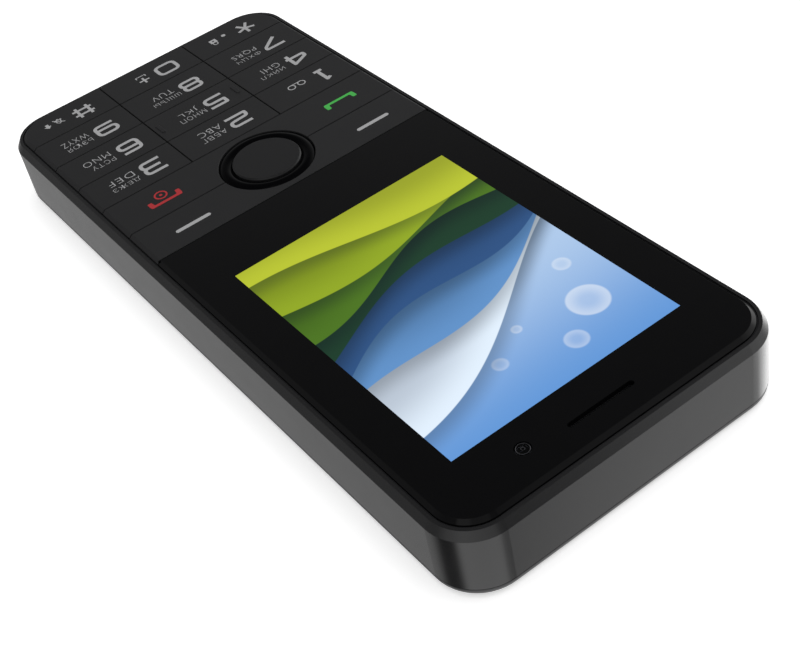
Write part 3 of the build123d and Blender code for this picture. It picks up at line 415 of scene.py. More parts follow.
@dataclass(frozen=True)
class LitLens(Finish):
    """Gloss black with a lit picture inside the display's active area.

    The picture is a plain one of folded bands under a pale sky with round spots.

    Attributes:
        width: Width of the active area.
        length: Length of the active area.
        middle: Place of its middle along Y.
        glow: Strength of its light.
        sky_low: Colour of the sky at the folds.
        sky_high: Colour of the sky at the earpiece.
        spot: Colour of the spots.
        folds: The bands, from the farthest to the nearest.
        spots: Place across and along, radius and strength of each spot.
    """

    width: float = 36.72 * MM
    length: float = 48.96 * MM
    middle: float = 26.05 * MM
    glow: float = 1.0
    sky_low: Color = srgb(176, 203, 236)
    sky_high: Color = srgb(98, 152, 217)
    spot: Color = srgb(236, 243, 251)
    folds: tuple[Fold, ...] = (
        Fold(srgb(214, 227, 243), 0.36, 0.62, 0.16, 0.55, 0.10),
        Fold(srgb(92, 138, 190), 0.16, 0.52, 0.13, 0.70, 0.32),
        Fold(srgb(44, 78, 124), -0.02, 0.46, 0.12, 0.80, 0.55),
        Fold(srgb(26, 58, 40), -0.20, 0.34, 0.10, 0.75, 0.70),
        Fold(srgb(72, 110, 30), -0.38, 0.24, 0.10, 0.85, 0.90),
        Fold(srgb(138, 160, 34), -0.55, 0.10, 0.09, 0.70, 0.15),
        Fold(srgb(176, 187, 48), -0.74, -0.06, 0.08, 0.65, 0.45),
    )
    spots: tuple[tuple[float, float, float, float], ...] = (
        (-0.62, 0.62, 0.17, 0.55),
        (-0.30, 0.80, 0.10, 0.40),
        (-0.75, 0.30, 0.08, 0.45),
        (0.22, 0.66, 0.07, 0.35),
        (-0.08, 0.52, 0.05, 0.50),
    )

    def add_light(self, graph: Graph, shader: bpy.types.Node, place: Socket) -> None:
        """Light the picture inside the active area.

        Args:
            graph: The tree to add to.
            shader: The lens's shader.
            place: The coordinates.
        """
        axes = graph.axes(place)
        across = graph.math("DIVIDE", axes[0], self.width / 2)
        along = graph.math("DIVIDE", graph.math("SUBTRACT", axes[1], self.middle), self.length / 2)
        inside = [graph.math("LESS_THAN", graph.math("ABSOLUTE", share), 1.0) for share in (across, along)]
        picture = self.picture(graph, across, along)
        color = graph.blend(graph.times(*inside), srgb(0, 0, 0), picture)
        graph.feed(shader.inputs["Emission Color"], color)
        graph.feed(shader.inputs["Emission Strength"], self.glow)

    def picture(self, graph: Graph, across: Socket, along: Socket) -> Socket:
        """Paint the folded bands, from the sky to the nearest.

        Args:
            graph: The tree to add to.
            across: Place across the width, from -1 to 1.
            along: Place along the length, from -1 to 1.

        Returns:
            The picture's colour.
        """
        sky_end, soft, hollow, faint = 1.1, 0.02, 0.2, 0.45
        color = graph.blend(graph.step(along, 0.0, sky_end), self.sky_low, self.sky_high)
        aspect = self.length / self.width
        for spot_x, spot_y, radius, strength in self.spots:
            off_x = graph.math("SUBTRACT", across, spot_x)
            off_y = graph.times(graph.math("SUBTRACT", along, spot_y), aspect)
            away = graph.math("SQRT", graph.math("MULTIPLY_ADD", off_x, off_x, graph.times(off_y, off_y)))
            disc = graph.step(away, radius, radius - soft)
            rim = graph.step(away, radius * hollow, radius)
            veil = graph.times(disc, graph.spread(rim, strength * faint, strength))
            color = graph.blend(veil, color, self.spot)
        for fold in self.folds:
            color = self.lay(graph, color, fold, across, along)
        return color

    def lay(self, graph: Graph, under: Socket, fold: Fold, across: Socket, along: Socket) -> Socket:
        """Lay one band over the picture, with its shadow on what is under it.

        Args:
            graph: The tree to add to.
            under: The picture so far.
            fold: The band.
            across: Place across the width.
            along: Place along the length.

        Returns:
            The picture with the band.
        """
        shadow_span, shadow_level, shadow_color = (-0.16, 0.01), 0.4, srgb(14, 26, 34)
        sheen_span, bright, dim = (0.0, 0.34), 1.15, 0.75
        edge_span = (-0.004, 0.004)
        angle = graph.math("MULTIPLY_ADD", across, math.pi * fold.turns, 2 * math.pi * fold.shift)
        line = graph.math("MULTIPLY_ADD", across, fold.slope / 2, fold.level)
        edge = graph.math("MULTIPLY_ADD", graph.math("SINE", angle), fold.swing, line)
        depth = graph.math("SUBTRACT", edge, along)
        shadow = graph.times(graph.step(depth, *shadow_span), shadow_level)
        below = graph.blend(shadow, under, shadow_color)
        sheen = graph.blend(graph.step(depth, *sheen_span), shade(fold.color, bright), shade(fold.color, dim))
        return graph.blend(graph.step(depth, *edge_span), below, sheen)


@dataclass(frozen=True)
class Finishes:
    """Every material of the phone, made once and found by its slot's name."""

    made: dict[str, bpy.types.Material]

    @classmethod
    def mix(cls) -> "Finishes":
        """Make all the materials.

        Returns:
            The finishes, by slot.
        """
        table: dict[str, Finish | ClearFinish] = {
            "housing_black": Finish(
                "satin_housing", srgb(28, 28, 29), 0.24,
                size=0.09 * MM, depth=1.5 * MICRON, smear=0.04, specular=0.7,
            ),
            "lens_black": LitLens(
                "lit_lens", srgb(9, 9, 10), 0.07, Grain.POLISHED,
                size=3 * MM, depth=0.3 * MICRON, smear=0.02, specular=0.35,
            ),
            "keycap_black": Finish(
                "matt_keycap", srgb(37, 37, 38), 0.42, size=0.07 * MM, depth=2 * MICRON, specular=0.35,
            ),
            "ring_black": Finish(
                "gloss_ring", srgb(5, 5, 6), 0.1, Grain.POLISHED,
                size=2 * MM, depth=0.3 * MICRON, smear=0.03, specular=0.07,
            ),
            "centre_key_black": Finish(
                "satin_centre_key", srgb(28, 28, 29), 0.34, size=0.08 * MM, depth=2 * MICRON,
            ),
            "cover_black": Finish("satin_cover", srgb(42, 42, 44), 0.4, size=0.14 * MM, depth=6 * MICRON),
            "chassis_black": Finish(
                "moulded_chassis", srgb(46, 46, 49), 0.5, size=0.2 * MM, depth=7 * MICRON,
            ),
            "keymat_silicone": Finish("matt_silicone", srgb(26, 26, 28), 0.72, size=0.15 * MM, specular=0.3),
            "pressed_steel": Finish(
                "rolled_steel", srgb(196, 197, 199), 0.34, Grain.BRUSHED,
                size=0.08 * MM, depth=1.5 * MICRON, metallic=1.0, uneven=0.06,
            ),
            "contact_gold": Finish(
                "plated_gold", srgb(226, 187, 104), 0.24, Grain.BRUSHED,
                size=0.06 * MM, depth=1 * MICRON, metallic=1.0, patch=1 * MM,
            ),
            "antenna_copper": Finish(
                "copper_foil", srgb(205, 139, 98), 0.32, Grain.BRUSHED,
                size=0.1 * MM, depth=1.5 * MICRON, metallic=1.0, patch=3 * MM, uneven=0.12,
            ),
            "board_green": Finish(
                "solder_resist", srgb(20, 92, 58), 0.3, Grain.TRACES,
                size=0.35 * MM, depth=25 * MICRON, uneven=0.12, coat=0.3,
            ),
            "chip_black": Finish("moulded_chip", srgb(30, 30, 32), 0.55, size=0.12 * MM, depth=5 * MICRON),
            "lamp_white": Finish(
                "cast_lamp", srgb(236, 231, 200), 0.2, Grain.POLISHED,
                size=0.4 * MM, depth=2 * MICRON, patch=1 * MM,
            ),
            "panel_dark": Finish(
                "glass_laminate", srgb(22, 24, 28), 0.06, Grain.POLISHED,
                size=4 * MM, depth=0.3 * MICRON, smear=0.02,
            ),
            "tray_white": Finish("moulded_tray", srgb(226, 226, 222), 0.45, size=0.2 * MM, depth=4 * MICRON),
            "foam_black": Finish(
                "open_foam", srgb(36, 36, 38), 0.9, Grain.CELLS,
                size=0.35 * MM, depth=90 * MICRON, specular=0.2,
            ),
            "tape_black": Finish(
                "tape_film", srgb(24, 24, 25), 0.5, Grain.WRAPPED, size=0.8 * MM, depth=4 * MICRON,
            ),
            "ribbon_amber": Finish(
                "amber_ribbon", srgb(172, 112, 40), 0.25, Grain.BRUSHED,
                size=0.5 * MM, depth=6 * MICRON, coat=0.4,
            ),
            "mesh_black": Finish(
                "woven_wire", srgb(24, 24, 26), 0.45, Grain.WOVEN, size=0.16 * MM, depth=8 * MICRON,
            ),
            "camera_glass": ClearFinish("camera_pane", srgb(112, 116, 126)),
            "torch_clear": ClearFinish("frosted_torch", srgb(238, 238, 226), 0.32, 3 * MICRON, 0.5),
            "rear_glass": ClearFinish("clear_pane", srgb(216, 220, 230)),
            "device_black": Finish("moulded_device", srgb(40, 40, 43), 0.5, size=0.15 * MM, depth=5 * MICRON),
            "battery_wrap": Finish(
                "battery_film", srgb(74, 78, 82), 0.34, Grain.WRAPPED,
                size=2.5 * MM, depth=18 * MICRON, coat=0.3, coat_roughness=0.2,
            ),
            "dark_metal": Finish(
                "dark_metal", srgb(112, 112, 116), 0.38, Grain.BRUSHED,
                size=0.05 * MM, depth=1 * MICRON, metallic=1.0, patch=1 * MM,
            ),
            "lens_optic": Finish(
                "coated_optic", srgb(16, 14, 30), 0.05, Grain.POLISHED,
                size=1 * MM, depth=0.3 * MICRON, smear=0.02, coat=1.0,
            ),
        }
        inks = (
            ("grey", srgb(161, 161, 162), 0.5),
            ("green", srgb(66, 172, 74), 0.45),
            ("red", srgb(168, 40, 45), 0.45),
        )
        for hue, color, roughness in inks:
            table[f"legend_{hue}"] = Finish(
                f"{hue}_ink", color, roughness, Grain.INK,
                size=0.05 * MM, depth=2 * MICRON, patch=2 * MM, uneven=0.05,
            )
        return cls({slot: finish.build() for slot, finish in table.items()})

    def dress_nodes(self) -> None:
        """Give every CAD node the finish of its slot."""
        for name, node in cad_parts.items():
            for holder in node.material_slots:
                holder.material = self.made[holder.material.name]
            LOG.info("dressed %s", name)


class Sculptor:
    """Builds one mesh out of simple solids, in the frame's axes."""

    MITRE_LIMIT = 0.4
    MERGE = 0.1 * MICRON
    MERGE_IN_STAMP = 1e-5

    def __init__(self) -> None:
        """Start with nothing."""
        self.bm = bmesh.new()

    def points(self, places: Iterable[Sequence[float]]) -> list[bmesh.types.BMVert]:
        """Set points."""
        return [self.bm.verts.new(place) for place in places]

    def skin(self, rows: Sequence[list[bmesh.types.BMVert]], joined: bool) -> None:
        """Stretch faces between rows of points.

        Args:
            rows: The rows. Each is a loop, or the one point of a pole.
            joined: Whether the last row joins the first.
        """
        following = [*rows[1:], *(rows[:1] if joined else [])]
        for row, after in zip(rows, following):
            for index in range(max(len(row), len(after))):
                here, there = (row[(index + step) % len(row)] for step in (0, 1))
                beyond, behind = (after[(index + step) % len(after)] for step in (1, 0))
                corners = list(dict.fromkeys((here, there, beyond, behind)))
                if len(corners) > 2:
                    self.bm.faces.new(corners)

    def wall(self, loops: Sequence[Sequence[Vector]], joined: bool = False) -> None:
        """Skin loops of the same number of points, one after another.

        Args:
            loops: The loops, in order.
            joined: Whether the last loop joins the first. If not, both are closed.
        """
        rows = [self.points(loop) for loop in loops]
        self.skin(rows, joined)
        if not joined:
            self.bm.faces.new(rows[0])
            self.bm.faces.new(rows[-1])

    def prism(self, outline: Sequence[Place], low: float, high: float) -> None:
        """Stand an upright prism on an outline, from a low to a high level."""
        self.wall([[Vector((x, y, z)) for x, y in outline] for z in (low, high)])

    def block(self, center: Sequence[float], size: Sequence[float], edge: float = 0.0) -> None:
        """Set a block with its upright corners cut.

        Args:
            center: Its middle.
            size: Its size along X, Y and Z.
            edge: How far the corners are cut.
        """
        low, high = ([place + side * whole / 2 for place, whole in zip(center, size)] for side in (-1, 1))
        self.prism(rounded_path(rectangle(low, high), edge, True, 1), low[2], high[2])

    def lathe(self, profile: Sequence[Place], center: Place, steps: int = TURN) -> list[bmesh.types.BMVert]:
        """Turn a profile round an upright axis.

        Args:
            profile: Radius and height of each point. A radius of zero is a pole, and without one it closes.
            center: Place of the axis.
            steps: How many steps make the turn.

        Returns:
            The points of the first ring.
        """
        rows = []
        for radius, height in profile:
            ring = circle_path(center, radius, steps) if radius > 0 else [center]
            rows.append(self.points((*place, height) for place in ring))
        self.skin(rows, min(len(rows[0]), len(rows[-1])) > 1)
        return rows[0]

    def stroke(
        self, path: Sequence[Place], width: float, low: float, high: float, closed: bool = False,
    ) -> None:
        """Draw a flat stroke of a pen along a path.

        Args:
            path: The stroke's middle line.
            width: Its width.
            low: Its lower height.
            high: Its upper height.
            closed: Whether the path closes on itself.
        """
        middle = [Vector((*place, 0.0)) for place in path]
        before, after = middle[-1], middle[0]
        if not closed:
            before, after = 2 * middle[0] - middle[1], 2 * middle[-1] - middle[-2]
        sections = []
        for last, point, following in zip([before, *middle], middle, [*middle[1:], after]):
            into = (point - last).normalized()
            along = (into + (following - point).normalized()).normalized()
            reach = width / 2 / max(self.MITRE_LIMIT, along.dot(into))
            side = Vector((-along.y, along.x, 0.0)) * reach
            corners = ((point + side, high), (point + side, low), (point - side, low), (point - side, high))
            sections.append([Vector((place.x, place.y, level)) for place, level in corners])
        self.wall(sections, closed)

    def stamp(self, shapes: Sequence[Sequence[Place]], low: float, high: float) -> None:
        """Raise a flat relief of shapes that may overlap, with one clean top.

        Args:
            shapes: The outlines.
            low: Its lower height.
            high: Its upper height.
        """
        points: list[Vector] = []
        loops: list[list[int]] = []
        for shape in shapes:
            area = sum(a[0] * b[1] - b[0] * a[1] for a, b in zip(shape, [*shape[1:], shape[0]]))
            outline = shape if area > 0 else shape[::-1]
            loops.append(list(range(len(points), len(points) + len(outline))))
            points.extend(Vector((x / MM, y / MM)) for x, y in outline)
        places, _, cells, _, _, owners = delaunay_2d_cdt(points, [], loops, 1, self.MERGE_IN_STAMP)
        top = self.points((place.x * MM, place.y * MM, high) for place in places)
        kept = [self.bm.faces.new([top[i] for i in cell]) for cell, owner in zip(cells, owners) if owner]
        grown = bmesh.ops.extrude_face_region(self.bm, geom=kept, use_keep_orig=True)
        for item in grown["geom"]:
            if isinstance(item, bmesh.types.BMVert):
                item.co.z = low
        loose = [vert for vert in top if not vert.link_faces]
        bmesh.ops.delete(self.bm, geom=loose, context="VERTS")

    def take(self, mesh: bpy.types.Mesh) -> None:
        """Add a ready mesh, which is used up."""
        self.bm.from_mesh(mesh)
        bpy.data.meshes.remove(mesh)

    def finish(self, name: str, smooth_angle: float = 30.0) -> bpy.types.Mesh:
        """Turn what was built into a mesh with faces outwards.

        Args:
            name: The mesh's name.
            smooth_angle: Edges sharper than this many degrees stay sharp.

        Returns:
            The mesh.
        """
        bmesh.ops.remove_doubles(self.bm, verts=self.bm.verts, dist=self.MERGE)
        bmesh.ops.recalc_face_normals(self.bm, faces=self.bm.faces)
        mesh = bpy.data.meshes.new(name)
        self.bm.to_mesh(mesh)
        self.bm.free()
        mesh.polygons.foreach_set("use_smooth", [True] * len(mesh.polygons))
        mesh.set_sharp_from_angle(angle=math.radians(smooth_angle))
        return mesh


def rectangle(low: Sequence[float], high: Sequence[float], inset: float = 0.0) -> list[Place]:
    """Give the corners of a rectangle from a low to a high corner, or inset from them."""
    left, bottom, right, top = low[0] + inset, low[1] + inset, high[0] - inset, high[1] - inset
    return [(left, bottom), (right, bottom), (right, top), (left, top)]


def arc_path(center: Sequence[float], radius: float, start: float, turn: float, steps: int) -> list[Place]:
    """Give the points of an arc, both ends included.

    Args:
        center: Its middle.
        radius: Its radius.
        start: The angle at which it starts.
        turn: The angle that it turns through.
        steps: How many steps make it.

    Returns:
        The points, in order.
    """
    x, y = center
    angles = [start + turn * index / steps for index in range(steps + 1)]
    return [(x + radius * math.cos(angle), y + radius * math.sin(angle)) for angle in angles]


def circle_path(center: Sequence[float], radius: float, steps: int) -> list[Place]:
    """Give the points of a circle, as many as it has steps."""
    return arc_path(center, radius, 0.0, 2 * math.pi, steps)[:-1]


def rounded_path(
    corners: Sequence[tuple[float, ...]], radius: float, closed: bool = False, steps: int = 5,
) -> list[Place]:
    """Round the corners of a path.

    Args:
        corners: The path's corners. A third number is that corner's own radius.
        radius: Radius of the other corners, less where their sides are short.
        closed: Whether the path closes on itself.
        steps: How many steps make each round. One step cuts the corner.

    Returns:
        The points of the rounded path.
    """
    straight, side_share = math.radians(88), 0.49
    points = [Vector(corner[:2]) for corner in corners]
    rounded: list[Place] = []
    for index, (point, after) in enumerate(zip(points, [*points[1:], points[0]])):
        own = corners[index][2] if len(corners[index]) > 2 else radius
        end_of_path = not closed and index in (0, len(points) - 1)
        to_before, to_after = points[index - 1] - point, after - point
        half_angle = straight if own <= 0 or end_of_path else to_before.angle(to_after) / 2
        if half_angle >= straight:
            rounded.append(tuple(point))
            continue
        shorter = min(to_before.length, to_after.length)
        reach = min(own / math.tan(half_angle), shorter * side_share)
        start = point + to_before.normalized() * reach
        end = point + to_after.normalized() * reach
        for step in range(steps + 1):
            share = step / steps
            rounded.append(tuple(start.lerp(point, share).lerp(point.lerp(end, share), share)))
    return rounded


def middle_of(low: Sequence[float], high: Sequence[float]) -> tuple[float, float, float]:
    """Give the middle of a box."""
    return tuple((a + b) / 2 for a, b in zip(low, high))


def baked(host: bpy.types.Object) -> bpy.types.Mesh:
    """Turn an object with modifiers into a plain mesh and remove the object.

    Args:
        host: The object.

    Returns:
        The evaluated mesh.
    """
    graph = bpy.context.evaluated_depsgraph_get()
    evaluated = host.evaluated_get(graph)
    mesh = bpy.data.meshes.new_from_object(evaluated, preserve_all_data_layers=True, depsgraph=graph)
    host.modifiers.clear()
    bpy.data.objects.remove(host)
    return mesh


def linked(name: str, data: bpy.types.ID) -> bpy.types.Object:
    """Make an object of some data and put it into the scene.

    Args:
        name: Its name.
        data: Its data.

    Returns:
        The object.
    """
    thing = bpy.data.objects.new(name, data)
    bpy.context.scene.collection.objects.link(thing)
    return thing


def softened(node: str, edge: float) -> bpy.types.Mesh:
    """Copy a CAD node and round its sharp edges a little, so that they catch the light.

    Args:
        node: The CAD node.
        edge: Width of the rounding.

    Returns:
        The copy.
    """
    merge, segments, sharp, full_weight = 0.5 * MICRON, 3, math.radians(20), 100
    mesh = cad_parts[node].data.copy()
    bm = bmesh.new()
    bm.from_mesh(mesh)
    bmesh.ops.remove_doubles(bm, verts=bm.verts, dist=merge)
    bm.to_mesh(mesh)
    bm.free()
    mesh.polygons.foreach_set("use_smooth", [True] * len(mesh.polygons))
    host = linked(f"{node}_soft", mesh)
    bevel = host.modifiers.new("edge", "BEVEL")
    bevel.width = edge
    bevel.segments = segments
    bevel.limit_method = "ANGLE"
    bevel.angle_limit = sharp
    weights = host.modifiers.new("shading", "WEIGHTED_NORMAL")
    weights.weight = full_weight
    return baked(host)


class Recipe(Graph):
    """A geometry node tree with named inputs, run once into a plain mesh."""

    def __init__(self, name: str) -> None:
        """Start an empty tree."""
        super().__init__(bpy.data.node_groups.new(name, "GeometryNodeTree"))
        self.entry = self.add("NodeGroupInput")
        self.values: dict[str, Any] = {}
        self.masters: list[bpy.types.Object] = []

    def input(self, name: str, value: Any, kind: str = "NodeSocketFloat") -> Socket:
        """Add a named input.

        Args:
            name: The input's name.
            value: What it is set to.
            kind: The kind of socket.

        Returns:
            The socket inside the tree.
        """
        item = self.tree.interface.new_socket(name=name, in_out="INPUT", socket_type=kind)
        self.values[item.identifier] = value
        return self.entry.outputs[name]

    def count(self, name: str, value: int) -> Socket:
        """Add a named whole number and return its socket."""
        return self.input(name, value, "NodeSocketInt")

    def master(self, mesh: bpy.types.Mesh) -> Socket:
        """Bring in a mesh that the tree repeats."""
        self.masters.append(bpy.data.objects.new(f"{mesh.name}_master", mesh))
        return self.add("GeometryNodeObjectInfo", {"Object": self.masters[-1]}).outputs["Geometry"]

    def row(self, count: Socket, pitch: Socket, axis: int) -> Socket:
        """Stand points in a row about the origin.

        Args:
            count: How many they are.
            pitch: How far apart they stand.
            axis: The axis that the row follows.

        Returns:
            The points.
        """
        first = self.times(self.math("SUBTRACT", count, 1.0), self.times(pitch, -0.5))
        start, offset = self.vector(first, axis), self.vector(pitch, axis)
        return self.out("GeometryNodeMeshLine", {"Count": count, "Start Location": start, "Offset": offset})

    def stand(self, points: Socket, instance: Socket, **more: Any) -> Socket:
        """Stand a geometry on each of the points."""
        return self.out("GeometryNodeInstanceOnPoints", {"Points": points, "Instance": instance, **more})

    def tube(self, curve: Socket, radius: Socket, sides: int) -> Socket:
        """Make a curve a closed tube.

        Args:
            curve: The tube's middle line.
            radius: Its radius.
            sides: How many sides it has.

        Returns:
            The tube.
        """
        section = self.out("GeometryNodeCurvePrimitiveCircle", {"Resolution": sides, "Radius": radius})
        inputs = {"Curve": curve, "Profile Curve": section, "Fill Caps": True}
        return self.out("GeometryNodeCurveToMesh", inputs)

    def run(
        self, geometry: Socket, center: Sequence[float], material: bpy.types.Material,
    ) -> bpy.types.Mesh:
        """End the tree, run it and keep its result.

        Args:
            geometry: What the tree made, about the origin.
            center: Where its middle goes.
            material: The finish that it gets.

        Returns:
            The plain mesh.
        """
        middle = self.input("Middle", tuple(center), "NodeSocketVector")
        placed = self.out("GeometryNodeTransform", {"Geometry": geometry, "Translation": middle})
        real = self.out("GeometryNodeRealizeInstances", {0: placed})
        dressed = self.out("GeometryNodeSetMaterial", {"Geometry": real, "Material": material})
        self.tree.interface.new_socket(name="Result", in_out="OUTPUT", socket_type="NodeSocketGeometry")
        self.add("NodeGroupOutput", {0: dressed})
        host = linked(self.tree.name, bpy.data.meshes.new(self.tree.name))
        modifier = host.modifiers.new(self.tree.name, "NODES")
        modifier.node_group = self.tree
        for identifier, value in self.values.items():
            modifier[identifier] = value
        mesh = baked(host)
        for holder in self.masters:
            bpy.data.objects.remove(holder)
        return mesh


@dataclass
class Assembly:
    """A sub-assembly of the phone, which repeats shapes and places its pieces."""

    finishes: Finishes

    def place(
        self, name: str, shape: Sculptor | bpy.types.Mesh, finish: str, body: str = "handset",
        replaced: Iterable[str] = (), smooth_angle: float = 30.0,
    ) -> None:
        """Make a finished shape a piece that rides on a body.

        Args:
            name: The piece's name.
            shape: What was built, or its mesh, in the frame's axes.
            finish: Its finish, by its slot's name.
            body: The body that it rides on.
            replaced: CAD nodes that it stands for.
            smooth_angle: Edges of what was built that are sharper than this many degrees stay sharp.
        """
        mesh = shape.finish(name, smooth_angle) if isinstance(shape, Sculptor) else shape
        mesh.name = name
        mesh.materials.clear()
        mesh.materials.append(self.finishes.made[finish])
        piece = linked(name, mesh)
        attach(piece, body)
        nodes = list(replaced)
        if nodes:
            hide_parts(*nodes)
        LOG.info("%s: %d faces on %s", name, len(mesh.polygons), body)

    def grid(
        self, name: str, master: bpy.types.Mesh, counts: tuple[int, int], pitches: Place,
        center: Sequence[float], finish: str,
    ) -> bpy.types.Mesh:
        """Repeat a mesh over a grid.

        Args:
            name: The tree's name.
            master: What is repeated, built about the origin.
            counts: How many stand along X and Y.
            pitches: How far apart they stand.
            center: The grid's middle.
            finish: Their finish.

        Returns:
            The plain mesh.
        """
        recipe = Recipe(name)
        standing = recipe.master(master)
        for axis, letter in enumerate("XY"):
            count = recipe.count(f"Count {letter}", counts[axis])
            pitch = recipe.input(f"Pitch {letter}", pitches[axis])
            standing = recipe.stand(recipe.row(count, pitch, axis), standing)
        return recipe.run(standing, center, self.finishes.made[finish])


@dataclass(frozen=True)
class Weave:
    """A mesh of wires that go over and under each other across a rectangle.

    Attributes:
        pitch: How far apart the wires stand.
        wire: Radius of a wire.
        swing: How far a wire's middle rises and falls.
        sides: How many sides a wire has.
        bends: How many straight pieces of wire lie between two wires.
    """

    pitch: float
    wire: float
    swing: float
    sides: int = 4
    bends: int = 4

    def make(
        self, name: str, size: Place, center: Sequence[float], material: bpy.types.Material,
    ) -> bpy.types.Mesh:
        """Weave the wires.

        Args:
            name: The tree's name.
            size: Width and length of the rectangle.
            center: Its middle.
            material: The wires' finish.

        Returns:
            The plain mesh.
        """
        recipe = Recipe(name)
        gap = recipe.input("Pitch", self.pitch)
        radius = recipe.input("Wire radius", self.wire)
        height = recipe.input("Swing", self.swing)
        layers = []
        for turned, (reach, across) in enumerate((size, size[::-1])):
            crossed = int(reach / self.pitch)
            count = recipe.count(f"Wires {turned + 1}", int(across / self.pitch))
            bends = recipe.count(f"Bends {turned + 1}", crossed * self.bends + 1)
            span = recipe.input(f"Length {turned + 1}", crossed * self.pitch)
            ends = [recipe.vector(recipe.times(span, share), 0) for share in (-0.5, 0.5)]
            line = recipe.out("GeometryNodeCurvePrimitiveLine", {"Start": ends[0], "End": ends[1]})
            fine = recipe.out("GeometryNodeResampleCurve", {"Curve": line, "Count": bends})
            where = recipe.axes(recipe.out("GeometryNodeInputPosition"))[0]
            phase = recipe.times(recipe.math("DIVIDE", where, gap), math.pi)
            lift = recipe.vector(recipe.times(recipe.math("COSINE", phase), height), 2)
            waved = recipe.out("GeometryNodeSetPosition", {"Geometry": fine, "Offset": lift})
            order = recipe.math("ADD", recipe.out("GeometryNodeInputIndex"), float(turned))
            flip = recipe.vector(recipe.times(recipe.math("MODULO", order, 2.0), math.pi), 0)
            wire = recipe.tube(waved, radius, self.sides)
            rows = recipe.stand(recipe.row(count, gap, 1), wire, Rotation=flip)
            turn = (0.0, 0.0, math.pi / 2 * turned)
            layers.append(recipe.out("GeometryNodeTransform", {"Geometry": rows, "Rotation": turn}))
        joined = recipe.add("GeometryNodeJoinGeometry")
        for layer in layers:
            recipe.feed(joined.inputs[0], layer)
        return recipe.run(joined.outputs[0], center, material)


@dataclass
class Housing(Assembly):
    """The screws that hold the housings, the seal round the front plate and the lens's edge."""

    screw_head: float = 1.4 * MM
    screw_shank: float = 0.7 * MM
    screw_length: float = 4.4 * MM
    screw_tip: float = 0.1 * MM
    screw_steps: int = 24
    head_height: float = 0.6 * MM
    head_rim: float = 0.12 * MM
    thread_pitch: float = 0.55 * MM
    thread_depth: float = 0.1 * MM
    cross_arm: float = 0.17 * MM
    cross_reach: float = 0.85 * MM
    cross_depth: float = 0.3 * MM
    cross_taper: float = 0.8
    corner_screw_x: float = 21.0 * MM
    middle_screw: Place = (21.9 * MM, -7.8 * MM)
    corner_radius: float = 6.8 * MM
    corner_steps: int = 12
    seal_inset: float = 1.33 * MM
    seal_width: float = 0.2 * MM
    seal_span: Place = (10.85 * MM, 11.1 * MM)
    edge_width: float = 0.18 * MM
    edge_sink: float = 0.02 * MM

    def build(self) -> None:
        """Build the screws, the seal and the lens's edge."""
        self.build_screws()
        self.build_seal()
        self.build_edge()

    def build_screws(self) -> None:
        """Build the six screws, with cross recesses and threads, where the CAD has them."""
        low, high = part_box("housing_screws")
        middle_x, middle_y = self.middle_screw
        corner_x, corner_y = self.corner_screw_x, high[1] - self.screw_head
        sets = (
            ("corner_screws", (2, 2), (2 * corner_x, 2 * corner_y), (0.0, 0.0, low[2])),
            ("middle_screws", (2, 1), (2 * middle_x, 0.0), (0.0, middle_y, low[2])),
        )
        maker = Sculptor()
        for name, counts, pitches, center in sets:
            maker.take(self.grid(name, self.screw(), counts, pitches, center, "pressed_steel"))
        self.place("cross_screws", maker, "pressed_steel", replaced=["housing_screws"])

    def screw(self) -> bpy.types.Mesh:
        """Build one screw, its head down, with its cross recess and its thread.

        Returns:
            The screw's mesh, its head's face at the origin.
        """
        head, shank, foot = self.screw_head, self.screw_shank, self.head_height
        top, root = foot + self.screw_length, shank - self.thread_depth
        profile = [(head - self.head_rim, 0.0), (head, self.head_rim), (head, foot), (shank, foot)]
        height = foot + self.thread_pitch
        while height < top - self.thread_pitch:
            profile.extend([(root, height), (shank, height + self.thread_pitch / 2)])
            height += self.thread_pitch
        profile.extend([(root, top - self.screw_tip), (0.0, top)])
        maker = Sculptor()
        self.cut_cross(maker, maker.lathe(profile, (0.0, 0.0), self.screw_steps))
        return maker.finish("screw")

    def cut_cross(self, maker: Sculptor, rim: list[bmesh.types.BMVert]) -> None:
        """Close the head's face round a cross-shaped recess.

        Args:
            maker: The sculptor that holds the screw.
            rim: The loop round the head's face.
        """
        arm, reach = self.cross_arm, self.cross_reach
        outline = []
        for turn in range(4):
            for x, y in ((reach, -arm), (reach, arm), (arm, arm)):
                for _ in range(turn):
                    x, y = -y, x
                outline.append((x, y))
        taper, depth = self.cross_taper, self.cross_depth
        mouth = maker.points((x, y, 0.0) for x, y in outline)
        floor = maker.points((x * taper, y * taper, depth) for x, y in outline)
        maker.skin([mouth, floor], False)
        maker.bm.faces.new(floor)
        ends = [pair for loop in (mouth, rim) for pair in zip(loop, loop[1:] + loop[:1])]
        edges = [maker.bm.edges.get(pair) for pair in ends]
        bmesh.ops.triangle_fill(maker.bm, use_beauty=True, use_dissolve=False, edges=edges)

    def build_seal(self) -> None:
        """Lay the seal at the foot of the groove between the rim and the front plate."""
        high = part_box("front_housing")[1]
        quarter = math.pi / 2
        path = []
        for count, (side, end) in enumerate(((1, 1), (-1, 1), (-1, -1), (1, -1))):
            middle = (side * (high[0] - self.corner_radius), end * (high[1] - self.corner_radius))
            radius = self.corner_radius - self.seal_inset
            path.extend(arc_path(middle, radius, quarter * count, quarter, self.corner_steps))
        maker = Sculptor()
        maker.stroke(path, self.seal_width, *self.seal_span, True)
        self.place("front_seal", maker, "keymat_silicone")

    def build_edge(self) -> None:
        """Run the black edge along the lens, before the keypad."""
        low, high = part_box("display_lens")
        y = low[1] - (self.edge_width + self.edge_sink) / 2
        reach = high[0] - self.edge_width
        maker = Sculptor()
        maker.stroke([(-reach, y), (reach, y)], self.edge_width, self.seal_span[0], high[2] - self.edge_sink)
        self.place("lens_edge", maker, "ring_black")


